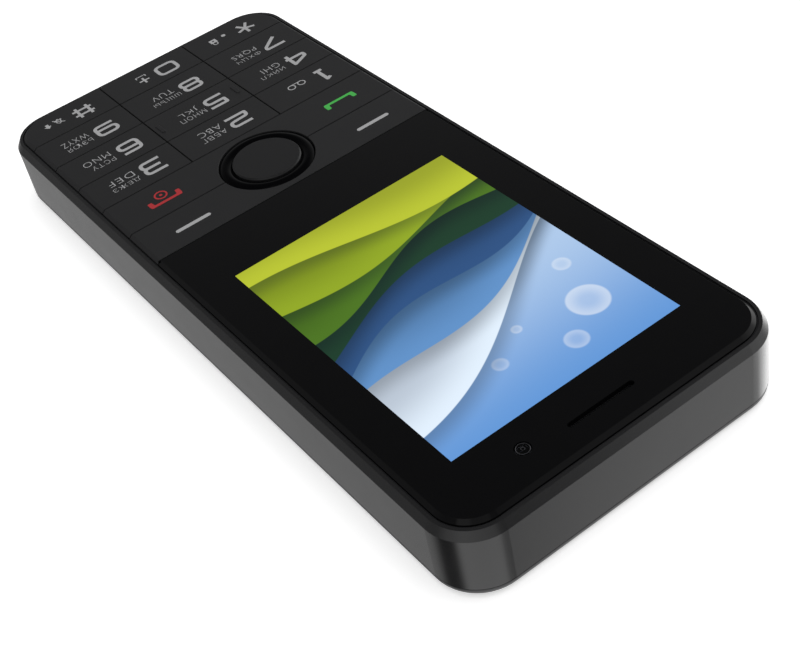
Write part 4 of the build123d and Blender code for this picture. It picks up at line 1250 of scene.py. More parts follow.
class Legend:
    """One key's print, in millimetres: pen strokes, filled shapes and words in one thin relief."""

    SHORTEST = 1e-4
    JOINT_STEPS, DOT_STEPS = 16, 20
    WORD_STYLE = {"resolution_u": 3, "extrude": 0.5, "offset": -0.018, "space_character": 1.1}

    def __init__(self, front: float, ink: float) -> None:
        """Start with a bare key.

        Args:
            front: Height of the key's face, in metres.
            ink: Thickness of the print above it, and of its foot in it, in metres.
        """
        self.low = front - ink
        self.high = front + ink
        self.shapes: list[list[Place]] = []
        self.maker = Sculptor()

    def pen(
        self, corners: Sequence[tuple[float, ...]], width: float, radius: float = 0.0, closed: bool = False,
    ) -> None:
        """Draw a stroke.

        Args:
            corners: The stroke's corners. A third number is that corner's own radius.
            width: The pen's width.
            radius: Radius of the other corners.
            closed: Whether the stroke closes on itself.
        """
        path = [Vector(point) for point in rounded_path(corners, radius, closed)]
        for start, end in zip(path, [*path[1:], *(path[:1] if closed else [])]):
            along = end - start
            if along.length < self.SHORTEST:
                continue
            side = Vector((-along.y, along.x)).normalized() * width / 2
            self.fill([start - side, end - side, end + side, start + side])
        for joint in path if closed else path[1:-1]:
            self.fill(circle_path(joint, width / 2, self.JOINT_STEPS))

    def fill(self, outline: Iterable[Sequence[float]]) -> None:
        """Fill an outline."""
        self.shapes.append([(x * MM, y * MM) for x, y in outline])

    def dot(self, x: float, y: float, radius: float) -> None:
        """Fill a dot."""
        self.fill(circle_path((x, y), radius, self.DOT_STEPS))

    def word(self, letters: str, left: float, right: float, top: float, bottom: float) -> None:
        """Set a word into a rectangle.

        Args:
            letters: The word.
            left: The rectangle's left edge.
            right: Its right edge.
            top: Its upper edge.
            bottom: Its lower edge.
        """
        curve = bpy.data.curves.new("word", "FONT")
        for setting, value in {"body": letters, **self.WORD_STYLE}.items():
            setattr(curve, setting, value)
        mesh = baked(linked("word", curve))
        bpy.data.curves.remove(curve)
        xs, ys = zip(*(vertex.co.xy for vertex in mesh.vertices))
        scale_x = (right - left) * MM / (max(xs) - min(xs))
        scale_y = (top - bottom) * MM / (max(ys) - min(ys))
        middle = (self.low + self.high) / 2
        move = Matrix.Translation((left * MM - min(xs) * scale_x, bottom * MM - min(ys) * scale_y, middle))
        mesh.transform(move @ Matrix.Diagonal((scale_x, scale_y, self.high - self.low, 1.0)))
        self.maker.take(mesh)

    def finish(self, name: str) -> bpy.types.Mesh:
        """Turn the print into a mesh.

        Args:
            name: The mesh's name.

        Returns:
            The mesh.
        """
        if self.shapes:
            self.maker.stamp(self.shapes, self.low, self.high)
        return self.maker.finish(name)


@dataclass(frozen=True)
class Digit:
    """One large digit, in millimetres, and the letters beside it.

    Attributes:
        zero: Place of the strokes' own zero.
        strokes: The strokes' corners.
        upper: The upper row's letters with their left and right ends.
        lower: The lower row's.
        closed: Whether the strokes close on themselves.
    """

    zero: Place
    strokes: tuple[tuple[tuple[float, ...], ...], ...]
    upper: tuple[str, float, float] | None = None
    lower: tuple[str, float, float] | None = None
    closed: bool = False


@dataclass
class Keypad(Assembly):
    """Printed legends of the keycaps, the navigation ring and the centre key.

    The prints' sizes are in millimetres, the others in metres. The rows of letters are given by their top and
    bottom, from the digit's own zero.
    """

    ink: float = 0.02 * MM
    pen: float = 0.62
    fine_pen: float = 0.18
    mark_pen: float = 0.17
    plus_pen: float = 0.36
    star_pen: float = 0.52
    hash_pen: float = 0.5
    corner: float = 0.8
    upper_row: Place = (0.0, -1.2)
    lower_row: Place = (-1.75, -3.25)
    ring_steps: int = 128
    ring_inner: float = 5.54 * MM
    ring_outer: float = 7.45 * MM
    ring_bottom: float = 11.09 * MM
    ring_shoulder: float = 11.54 * MM
    ring_crown: float = 0.38 * MM
    ring_edge: float = 0.06 * MM
    crown_steps: int = 20
    key_edge: float = 0.08 * MM
    nub: float = 0.5 * MM
    nub_circle: float = 6.7 * MM
    digits: tuple[Digit, ...] = (
        Digit((-20.95, -30.1), (
            ((0.95, -0.25), (1.7, 0.15, 0.0), (1.7, -3.1)),
            ((0.9, -3.1), (2.4, -3.1)),
        )),
        Digit((-4.65, -30.2), (
            ((0.05, 0.0), (3.35, 0.0), (3.35, -1.5), (0.0, -1.75), (0.0, -2.95, 0.0), (3.65, -2.95)),
        ), ("АБВГ", 0.0, 4.5), ("ABC", 0.0, 4.1)),
        Digit((11.4, -30.05), (
            ((0.0, 0.0), (3.45, 0.0), (3.45, -1.6), (0.5, -1.6)),
            ((0.5, -1.6), (3.45, -1.6), (3.45, -3.3), (0.0, -3.3)),
        ), ("ДЕЖЗ", 16.1, 20.9), ("DEF", 16.3, 20.7)),
        Digit((-20.9, -38.05), (
            ((2.65, -3.35), (2.65, 0.0, 0.0), (0.0, -1.25, 0.3), (0.0, -2.15, 0.2), (3.3, -2.15)),
        ), ("ИЙКЛ", -16.4, -11.9), ("GHI", -16.4, -13.0)),
        Digit((-4.6, -38.0), (
            ((3.1, 0.0), (0.0, 0.0, 0.15), (0.0, -1.3, 0.0), (3.0, -1.3), (3.0, -3.0), (-0.3, -3.0)),
        ), ("МНОП", -0.75, 3.95), ("JKL", -0.1, 3.4)),
        Digit((11.55, -38.1), (
            ((3.25, 0.0), (0.0, 0.0), (0.0, -3.0), (3.3, -3.0), (3.3, -1.3), (0.1, -1.3)),
        ), ("РСТУ", 16.3, 20.4), ("MNO", 16.4, 21.1)),
        Digit((-20.9, -45.95), (
            ((-0.2, 0.0), (3.35, 0.0, 0.45), (3.1, -0.8, 0.3), (0.4, -3.0)),
        ), ("ФХЦЧ", -16.4, -11.8), ("PQRS", -16.5, -11.9)),
        Digit((-4.65, -46.05), (
            ((0.1, 0.0), (3.1, 0.0), (3.1, -1.45), (0.1, -1.45)),
            ((0.0, -1.45), (3.2, -1.45), (3.2, -2.9), (0.0, -2.9)),
        ), ("ШЩЪЫ", -0.5, 4.6), ("TUV", 0.0, 3.95), True),
        Digit((11.6, -46.1), (
            ((0.0, -2.9), (3.35, -2.9), (3.35, 0.0), (0.0, 0.0), (0.0, -1.65), (3.2, -1.65)),
        ), ("ЬЭЮЯ", 16.3, 20.8), ("WXYZ", 16.3, 21.0)),
    )
    front: float = field(init=False)

    def __post_init__(self) -> None:
        """Read the front plane off the lens."""
        self.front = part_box("display_lens")[1][2]

    def build(self) -> None:
        """Build ring, centre key and legends."""
        self.build_ring()
        key = softened("ok_key", self.key_edge)
        self.place("centre_key", key, "centre_key_black", "ok_key", ["ok_key"])
        self.build_digits()
        self.build_star()
        self.build_zero()
        self.build_hash()
        self.build_call_marks()

    def build_ring(self) -> None:
        """Turn the crowned ring and stand its two nubs under it."""
        low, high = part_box("nav_ring")
        center_y = middle_of(low, high)[1]
        inner, outer, bottom, edge = self.ring_inner, self.ring_outer, self.ring_bottom, self.ring_edge
        middle, half = (outer + inner) / 2, (outer - inner) / 2
        profile = [(inner + edge, bottom), (outer - edge, bottom), (outer, bottom + edge)]
        for step in range(self.crown_steps + 1):
            share = 1 - 2 * step / self.crown_steps
            rise = self.ring_crown * (1 - share * share)
            profile.append((middle + half * share, self.ring_shoulder + rise))
        profile.append((inner, bottom + edge))
        maker = Sculptor()
        maker.lathe(profile, (0.0, center_y), self.ring_steps)
        for side in (-1, 1):
            nub = circle_path((0.0, center_y + side * self.nub_circle), self.nub, TINY_TURN)
            maker.prism(nub, low[2], bottom + edge)
        self.place("navigation_ring", maker, "ring_black", "nav_ring", ["nav_ring"], 50.0)

    def legend(self) -> Legend:
        """Start a legend on the front plane."""
        return Legend(self.front, self.ink)

    def print_legend(self, name: str, legend: Legend, body: str, ink: str = "legend_grey") -> None:
        """Finish a legend as a piece of its key."""
        self.place(name, legend.finish(name), ink, body)

    def build_digits(self) -> None:
        """Print the digits 1 to 9 and what is beside them."""
        for sign, digit in enumerate(self.digits, 1):
            zero_x, zero_y = digit.zero
            legend = self.legend()
            for corners in digit.strokes:
                moved = [(zero_x + x, zero_y + y, *own) for x, y, *own in corners]
                legend.pen(moved, self.pen, self.corner, digit.closed)
            for row, (high, low) in ((digit.upper, self.upper_row), (digit.lower, self.lower_row)):
                if row:
                    legend.word(*row, zero_y + high, zero_y + low)
            if sign == 1:
                self.draw_voice_mark(legend)
            self.print_legend(f"legend_{sign}", legend, f"key_{sign}")

    def draw_voice_mark(self, legend: Legend) -> None:
        """Draw two rings on a bar, beside the 1."""
        left, right, middle_y, radius = -15.65, -13.75, -32.5, 0.62
        for x in (left, right):
            legend.pen(circle_path((x, middle_y), radius, TINY_TURN), self.fine_pen, closed=True)
        bar_y = middle_y - 0.6
        legend.pen([(left, bar_y), (right, bar_y)], self.fine_pen)

    def build_star(self) -> None:
        """Print the star, and the dot and the lock beside it."""
        star = self.legend()
        middle = (-18.95, -55.6)
        for tip in ((-18.95, -53.95), (-20.55, -55.0), (-17.4, -55.05), (-19.95, -57.2), (-18.0, -57.2)):
            star.pen([middle, tip], self.star_pen)
        star.dot(-15.05, -56.65, 0.4)
        lock_x, lock_y = -12.8, -56.4
        hole, half_x, half_y = 0.18, 0.65, 0.6
        for side in (-1, 1):
            x, y = lock_x + side * (half_x + hole) / 2, lock_y + side * (half_y + hole) / 2
            star.pen([(x, lock_y - half_y), (x, lock_y + half_y)], half_x - hole)
            star.pen([(lock_x - half_x, y), (lock_x + half_x, y)], half_y - hole)
        arch = [(-0.38, 0.55), (-0.38, 1.35), (0.38, 1.35), (0.38, 0.55)]
        star.pen([(lock_x + x, lock_y + y) for x, y in arch], self.mark_pen, 0.38)
        self.print_legend("legend_star", star, "key_star")

    def build_zero(self) -> None:
        """Print the zero, and the plus over the space mark beside it."""
        zero = self.legend()
        left, right, top, bottom = -4.65, -1.15, -54.15, -57.1
        zero.pen([(left, top), (right, top), (right, bottom), (left, bottom)], self.pen, 0.9, True)
        zero.pen([(1.68, -54.45), (1.68, -56.35)], self.plus_pen)
        zero.pen([(0.75, -55.4), (2.6, -55.4)], self.plus_pen)
        zero.pen([(0.8, -56.55), (0.8, bottom), (2.55, bottom), (2.55, -56.55)], self.fine_pen)
        self.print_legend("legend_0", zero, "key_0")

    def build_hash(self) -> None:
        """Print the hash, and the crossed bell and the arrow beside it."""
        grate = self.legend()
        for x in (12.45, 14.4):
            grate.pen([(x, -53.9), (x, -57.3)], self.hash_pen)
        for y in (-54.85, -56.35):
            grate.pen([(11.75, y), (15.25, y)], self.hash_pen)
        bell_x, arrow_x, marks_y = 17.9, 19.95, -56.25
        side = [(0.36, 0.35), (0.42, -0.2), (0.62, -0.5)]
        bell = [*((-x, y) for x, y in reversed(side)), (0.0, 0.68), *side]
        grate.pen([(bell_x + x, marks_y + y) for x, y in bell], self.mark_pen, closed=True)
        grate.dot(bell_x, marks_y - 0.74, 0.16)
        grate.pen([(bell_x - 0.85, marks_y + 0.8), (bell_x + 0.85, marks_y - 0.9)], self.mark_pen)
        arrow = [(-0.28, -0.7), (0.28, -0.7), (0.28, 0), (0.65, 0), (0.0, 0.75), (-0.65, 0), (-0.28, 0)]
        grate.fill((arrow_x + x, marks_y + y) for x, y in arrow)
        self.print_legend("legend_hash", grate, "key_hash")

    def build_call_marks(self) -> None:
        """Print the soft keys' bars, the green handset, and the red handset with its power sign."""
        bars = self.legend()
        bar_y, bar_width = -13.82, 0.72
        radius = bar_width / 2
        for left, right in ((-19.7, -13.75), (13.2, 19.2)):
            ends = (left + radius, right - radius)
            bars.pen([(x, bar_y) for x in ends], bar_width)
            for x in ends:
                bars.dot(x, bar_y, radius)
        self.print_legend("soft_key_bars", bars, "soft_keys")

        green = self.legend()
        self.handset(green, (-19.6, -13.95), -23.42, 1.3)
        self.print_legend("call_mark", green, "call_end_keys", "legend_green")

        red = self.legend()
        self.handset(red, (13.4, 18.95), -21.95, -1.3)
        power, radius, width, dot, steps = (16.2, -23.9), 0.94, 0.28, 0.26, 28
        red.pen(circle_path(power, radius, steps), width, closed=True)
        red.dot(*power, dot)
        self.print_legend("end_mark", red, "call_end_keys", "legend_red")

    def handset(self, legend: Legend, ends: Place, bar_y: float, drop: float) -> None:
        """Draw a handset: a bar with a thicker stem at each end.

        Args:
            legend: The print.
            ends: Its left and right ends.
            bar_y: Middle of the bar.
            drop: How far the stems reach from the bar, and to which side.
        """
        thick, stem, slant, round_end = 0.56, 0.72, 0.12, 0.24
        half = math.copysign(thick / 2, drop)
        middle, reach = sum(ends) / 2, (ends[1] - ends[0]) / 2
        side = [
            (reach - slant, bar_y - half), (reach, bar_y + half), (reach, bar_y + drop),
            (reach - stem, bar_y + drop), (reach - stem - slant, bar_y + half),
        ]
        corners = [(middle + x, y) for x, y in side] + [(middle - x, y) for x, y in reversed(side)]
        legend.fill(rounded_path(corners, round_end, closed=True))


def dome_profile(radius: float, base: float, rise: float) -> list[Place]:
    """Give the profile of a lens dome that stands on a plane.

    Args:
        radius: Its radius.
        base: The plane's height.
        rise: How far it rises, downwards if negative.

    Returns:
        The profile, from pole to pole.
    """
    steps = 8
    angles = [math.pi / 2 * step / steps for step in range(1, steps + 1)]
    arc = [(radius * math.sin(angle), base + rise * math.cos(angle)) for angle in angles]
    return [(0.0, base + rise), *arc, (0.0, base)]


@dataclass
class Front(Assembly):
    """Earpiece mesh and front camera, under the display lens.

    The rings on the window are given by their inner and outer radius. The stop round the lens is a profile of
    radii, and of heights above the camera.
    """

    weave: Weave = Weave(0.15 * MM, 0.035 * MM, 0.03 * MM)
    rim: float = 0.07 * MM
    rim_steps: int = 12
    wire_gap: float = 0.1 * MM
    camera_rings: tuple[Place, ...] = ((0.82 * MM, 0.93 * MM), (0.2 * MM, 0.28 * MM))
    ring_lift: float = 0.02 * MM
    ring_rise: float = 0.03 * MM
    stop: tuple[Place, ...] = (
        (0.55 * MM, 0.0), (0.95 * MM, 0.0), (0.95 * MM, 0.16 * MM), (0.75 * MM, 0.16 * MM),
        (0.55 * MM, 0.05 * MM),
    )
    dome_radius: float = 0.42 * MM
    dome_rise: float = 0.15 * MM

    def build(self) -> None:
        """Build the mesh and the camera's rings."""
        self.build_mesh()
        self.build_camera()

    def build_mesh(self) -> None:
        """Weave the earpiece mesh and give it its frame."""
        low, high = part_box("earpiece_mesh")
        center = middle_of(low, high)
        width = high[1] - low[1]
        straight = high[0] - low[0] - width
        size = (straight, width - self.wire_gap)
        maker = Sculptor()
        maker.take(self.weave.make("earpiece_wires", size, center, self.finishes.made["mesh_black"]))
        path = []
        for side in (1, -1):
            end = (center[0] + side * straight / 2, center[1])
            path.extend(arc_path(end, (width - self.rim) / 2, -side * math.pi / 2, math.pi, self.rim_steps))
        maker.stroke(path, self.rim, low[2], high[2], True)
        self.place("earpiece_weave", maker, "mesh_black", replaced=["earpiece_mesh"])

    def build_camera(self) -> None:
        """Turn the front camera's bezel, its stop and its small lens."""
        low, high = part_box("front_camera_window")
        center = middle_of(low, high)[:2]
        foot = high[2] + self.ring_lift
        shoulder, ridge = foot + self.ring_rise, foot + 2 * self.ring_rise
        bezel = Sculptor()
        for inner, outer in self.camera_rings:
            middle = (inner + outer) / 2
            profile = [(inner, foot), (outer, foot), (outer, shoulder), (middle, ridge), (inner, shoulder)]
            bezel.lathe(profile, center, LARGE_TURN)
        self.place("front_camera_bezel", bezel, "dark_metal", smooth_angle=20.0)
        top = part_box("front_camera")[1][2]
        stop = Sculptor()
        stop.lathe([(radius, top + rise) for radius, rise in self.stop], center)
        self.place("front_camera_stop", stop, "device_black")
        dome = Sculptor()
        dome.lathe(dome_profile(self.dome_radius, top, self.dome_rise), center, SMALL_TURN)
        self.place("front_camera_lens", dome, "lens_optic", smooth_angle=60.0)


@dataclass
class Back(Assembly):
    """Speaker mesh, rear camera and torch, seen from the back.

    The border on the pane has an inner and an outer radius, and a span of heights above the pane. Each step
    round the lens has an inner radius, an outer radius and a depth. The torch's tile has a width, a thickness
    and a cut at its corners.
    """

    weave: Weave = Weave(0.34 * MM, 0.03 * MM, 0.027 * MM)
    frame_width: float = 0.6 * MM
    wire_gap: float = 0.1 * MM
    pane_edge: float = 0.08 * MM
    border: Place = (2.45 * MM, 3.1 * MM)
    border_span: Place = (0.01 * MM, 0.05 * MM)
    rings: tuple[tuple[float, float, float], ...] = (
        (2.1 * MM, 2.35 * MM, 0.12 * MM), (1.6 * MM, 1.85 * MM, 0.2 * MM),
    )
    ring_edge: float = 0.06 * MM
    dome_radius: float = 1.5 * MM
    dome_sink: float = 0.3 * MM
    dome_rise: float = 0.34 * MM
    ridge: float = 0.05 * MM
    ridges: int = 8
    ridge_radii: Place = (0.25 * MM, 1.35 * MM)
    ridge_lift: float = 0.03 * MM
    tile: tuple[float, float, float] = (1.5 * MM, 0.06 * MM, 0.2 * MM)

    def build(self) -> None:
        """Build the mesh, the camera's rings and the torch's ridges."""
        self.build_mesh()
        self.build_camera()
        self.build_torch()

    def build_mesh(self) -> None:
        """Weave the speaker mesh and give it its frame."""
        low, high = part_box("speaker_mesh")
        size = (high[0] - low[0] - self.wire_gap, high[1] - low[1] - self.wire_gap)
        maker = Sculptor()
        black = self.finishes.made["mesh_black"]
        maker.take(self.weave.make("speaker_wires", size, middle_of(low, high), black))
        path = rectangle(low, high, self.frame_width / 2)
        maker.stroke(path, self.frame_width, low[2], high[2], True)
        self.place("speaker_weave", maker, "mesh_black", replaced=["speaker_mesh"])

    def build_camera(self) -> None:
        """Turn the rear camera's pane, its border, its stepped rings and its lens."""
        low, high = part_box("rear_camera_window")
        center = middle_of(low, high)[:2]
        radius, edge, outside, inside = (high[0] - low[0]) / 2, self.pane_edge, low[2], high[2]
        profile = [(0.0, outside), (radius - edge, outside), (radius, outside + edge)]
        profile.extend([(radius, inside), (0.0, inside)])
        pane = Sculptor()
        pane.lathe(profile, center, LARGE_TURN)
        self.place("rear_camera_pane", pane, "rear_glass", "rear_cover", ["rear_camera_window"], 20.0)
        (inner, outer), (foot, top) = self.border, (inside + rise for rise in self.border_span)
        border = Sculptor()
        border.lathe([(inner, foot), (outer, foot), (outer, top), (inner, top)], center, LARGE_TURN)
        self.place("rear_camera_border", border, "ring_black", "rear_cover")
        face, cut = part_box("rear_camera")[0][2], self.ring_edge
        rings = Sculptor()
        for inner, outer, drop in self.rings:
            waist, tip = face - drop / 2, face - drop
            profile = [(inner, face), (outer, face), (outer, waist)]
            profile.extend([(outer - cut, tip), (inner + cut, tip), (inner, waist)])
            rings.lathe(profile, center, LARGE_TURN)
        self.place("rear_camera_rings", rings, "dark_metal", smooth_angle=25.0)
        dome = Sculptor()
        dome.lathe(dome_profile(self.dome_radius, face + self.dome_sink, -self.dome_rise), center)
        self.place("rear_camera_lens", dome, "lens_optic", smooth_angle=60.0)

    def build_torch(self) -> None:
        """Lay the torch lens's ridges and give its lamp a yellow tile."""
        low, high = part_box("torch_lens")
        center = middle_of(low, high)[:2]
        ridges = Sculptor()
        ridges.take(self.turn_ridges((*center, low[2] + self.ridge_lift)))
        self.place("torch_ridges", ridges, "torch_clear", "rear_cover", smooth_angle=60.0)
        width, thick, cut = self.tile
        lamp_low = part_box("torch_led")[0][2]
        tile = Sculptor()
        tile.block((*center, lamp_low - thick / 2), (width, width, thick), cut)
        self.place("torch_tile", tile, "lamp_white")

    def turn_ridges(self, center: Sequence[float]) -> bpy.types.Mesh:
        """Lay concentric ridges, as on a stepped lens.

        Args:
            center: Their middle.

        Returns:
            The plain mesh.
        """
        sides = 6
        recipe = Recipe("torch_ridges")
        inner = recipe.input("Inner radius", self.ridge_radii[0])
        outer = recipe.input("Outer radius", self.ridge_radii[1])
        number = recipe.count("Ridges", self.ridges)
        section = recipe.input("Ridge radius", self.ridge)
        points = recipe.out("GeometryNodeMeshLine", {"Count": number, "Offset": (0.0, 0.0, 0.0)})
        circle = recipe.out("GeometryNodeCurvePrimitiveCircle", {"Resolution": TURN, "Radius": 1.0})
        last = recipe.math("SUBTRACT", number, 1.0)
        share = recipe.math("DIVIDE", recipe.out("GeometryNodeInputIndex"), last)
        radius = recipe.math("MULTIPLY_ADD", share, recipe.math("SUBTRACT", outer, inner), inner)
        rings = recipe.stand(points, circle, Scale=recipe.vector(radius, 0, 1, 2))
        real = recipe.out("GeometryNodeRealizeInstances", {0: rings})
        return recipe.run(recipe.tube(real, section, sides), center, self.finishes.made["torch_clear"])


@dataclass
class Sockets(Assembly):
    """Contacts of the USB socket and the rim of the headset jack."""

    contact_count: int = 12
    contact_pitch: float = 0.5 * MM
    contact_size: tuple[float, float, float] = (0.26 * MM, 4.2 * MM, 0.04 * MM)
    contact_cut: float = 0.05 * MM
    contact_inset: float = 1.1 * MM
    tongue_height: float = 0.7 * MM
    jack_bore: float = 1.78 * MM
    jack_rim: float = 0.28 * MM
    jack_depth: float = 0.3 * MM
    jack_edge: float = 0.05 * MM

    def build(self) -> None:
        """Build both."""
        self.build_contacts()
        self.build_jack()

    def build_contacts(self) -> None:
        """Lay a row of contacts on both sides of the USB socket's tongue."""
        low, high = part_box("usb_socket")
        middle_y = low[1] + self.contact_inset + self.contact_size[1] / 2
        middle_z = (low[2] + high[2]) / 2
        maker = Sculptor()
        for side in (-1, 1):
            strip = Sculptor()
            strip.block((0.0, 0.0, 0.0), self.contact_size, self.contact_cut)
            center = (0.0, middle_y, middle_z + side * self.tongue_height / 2)
            counts, pitches = (self.contact_count, 1), (self.contact_pitch, 0.0)
            mesh = strip.finish("strip")
            maker.take(self.grid("usb_strips", mesh, counts, pitches, center, "contact_gold"))
        self.place("usb_contacts", maker, "contact_gold")

    def build_jack(self) -> None:
        """Turn the thin plated rim in the jack's mouth."""
        low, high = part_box("headset_jack")
        center = middle_of(low, high)
        bore, edge, depth = self.jack_bore, self.jack_edge, self.jack_depth
        outer = bore + self.jack_rim
        rim = Sculptor()
        rim.lathe([
            (bore, depth), (outer, depth), (outer, -edge / 2), (outer - edge, -edge), (bore + edge, -edge),
            (bore, edge),
        ], (0.0, 0.0))
        mesh = rim.finish("jack_rim")
        turn = Matrix.Rotation(-math.pi / 2, 4, "X")
        mesh.transform(Matrix.Translation((center[0], low[1], center[2])) @ turn)
        self.place("jack_rim", mesh, "pressed_steel")


@dataclass(frozen=True)
class CardContacts:
    """The rows of sprung contacts in one card holder.

    Attributes:
        holder: The holder's node.
        counts: How many contacts stand along X and Y.
        pitches: How far apart they stand.
        width: A contact's width.
    """

    holder: str
    counts: tuple[int, int]
    pitches: Place
    width: float


@dataclass
class Inside(Assembly):
    """What shows once the cover and the battery are off, and the battery itself.

    The border round the label has an inset, a corner radius and a width. A pole mark has an inset, half a
    length and a width. A contact's bent middle line is given by shares of its length, and by heights.
    """

    battery_edge: float = 0.25 * MM
    pad: tuple[float, float, float] = (1.7 * MM, 0.06 * MM, 2.6 * MM)
    pad_lift: float = 0.01 * MM
    pad_count: int = 3
    pad_pitch: float = 2.4 * MM
    ink: float = 0.02 * MM
    border: tuple[float, float, float] = (2.2 * MM, 1.5 * MM, 0.3 * MM)
    mark: tuple[float, float, float] = (6 * MM, 1.2 * MM, 0.5 * MM)
    cards: tuple[CardContacts, ...] = (
        CardContacts("sim_holder_1", (3, 2), (2.54 * MM, 7.6 * MM), 1.1 * MM),
        CardContacts("sim_holder_2", (3, 2), (2.54 * MM, 7.6 * MM), 1.1 * MM),
        CardContacts("memory_card_holder", (8, 1), (1.1 * MM, 0.0), 0.7 * MM),
    )
    leaf_thick: float = 0.08 * MM
    leaf_reach: float = 2.6 * MM
    leaf_lift: float = 0.25 * MM
    leaf_line: tuple[Place, ...] = (
        (-0.5, 0.0), (-0.3, -0.02 * MM), (-0.1, -0.14 * MM), (0.15, -0.34 * MM), (0.3, -0.4 * MM),
        (0.42, -0.36 * MM), (0.5, -0.26 * MM),
    )

    def build(self) -> None:
        """Build the battery's dress and the card holders' contacts."""
        self.build_battery()
        self.build_card_contacts()

    def build_battery(self) -> None:
        """Round the battery's edges, and give it pads, a border and pole marks."""
        mesh = softened("battery", self.battery_edge)
        self.place("battery_pack", mesh, "battery_wrap", "battery", ["battery"])
        low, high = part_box("battery")
        pad = Sculptor()
        pad.block((0.0, 0.0, 0.0), self.pad)
        center = (0.0, high[1] + self.pad_lift, (low[2] + high[2]) / 2)
        counts, pitches = (self.pad_count, 1), (self.pad_pitch, 0.0)
        pads = self.grid("battery_pads", pad.finish("pad"), counts, pitches, center, "contact_gold")
        self.place("battery_pads", pads, "contact_gold", "battery")
        span = (low[2] - self.ink, low[2] + self.ink)
        inset, radius, line = self.border
        label = Sculptor()
        label.stroke(rounded_path(rectangle(low, high, inset), radius, True), line, *span, True)
        inset, arm, line = self.mark
        y, plus_x = high[1] - inset, -self.pad_pitch * self.pad_count
        for x in (plus_x, -plus_x):
            label.stroke([(x - arm, y), (x + arm, y)], line, *span)
        label.stroke([(plus_x, y - arm), (plus_x, y + arm)], line, *span)
        self.place("battery_marks", label, "legend_grey", "battery")

    def build_card_contacts(self) -> None:
        """Stand rows of sprung contacts in the card holders."""
        for card in self.cards:
            low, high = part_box(card.holder)
            center = (*middle_of(low, high)[:2], high[2] - self.leaf_lift)
            name = f"{card.holder}_leaves"
            leaves = self.grid(name, self.leaf(card.width), card.counts, card.pitches, center, "contact_gold")
            self.place(f"{card.holder}_contacts", leaves, "contact_gold")

    def leaf(self, width: float) -> bpy.types.Mesh:
        """Bend one contact leaf, its foot at the origin, its tip below.

        Args:
            width: The leaf's width.

        Returns:
            The leaf's mesh.
        """
        half, thick = width / 2, self.leaf_thick / 2
        section = rectangle((-half, -thick), (half, thick))
        line = [(share * self.leaf_reach, drop) for share, drop in self.leaf_line]
        maker = Sculptor()
        maker.wall([[Vector((x, y, drop + z)) for x, z in section] for y, drop in line])
        return maker.finish("leaf", 40.0)


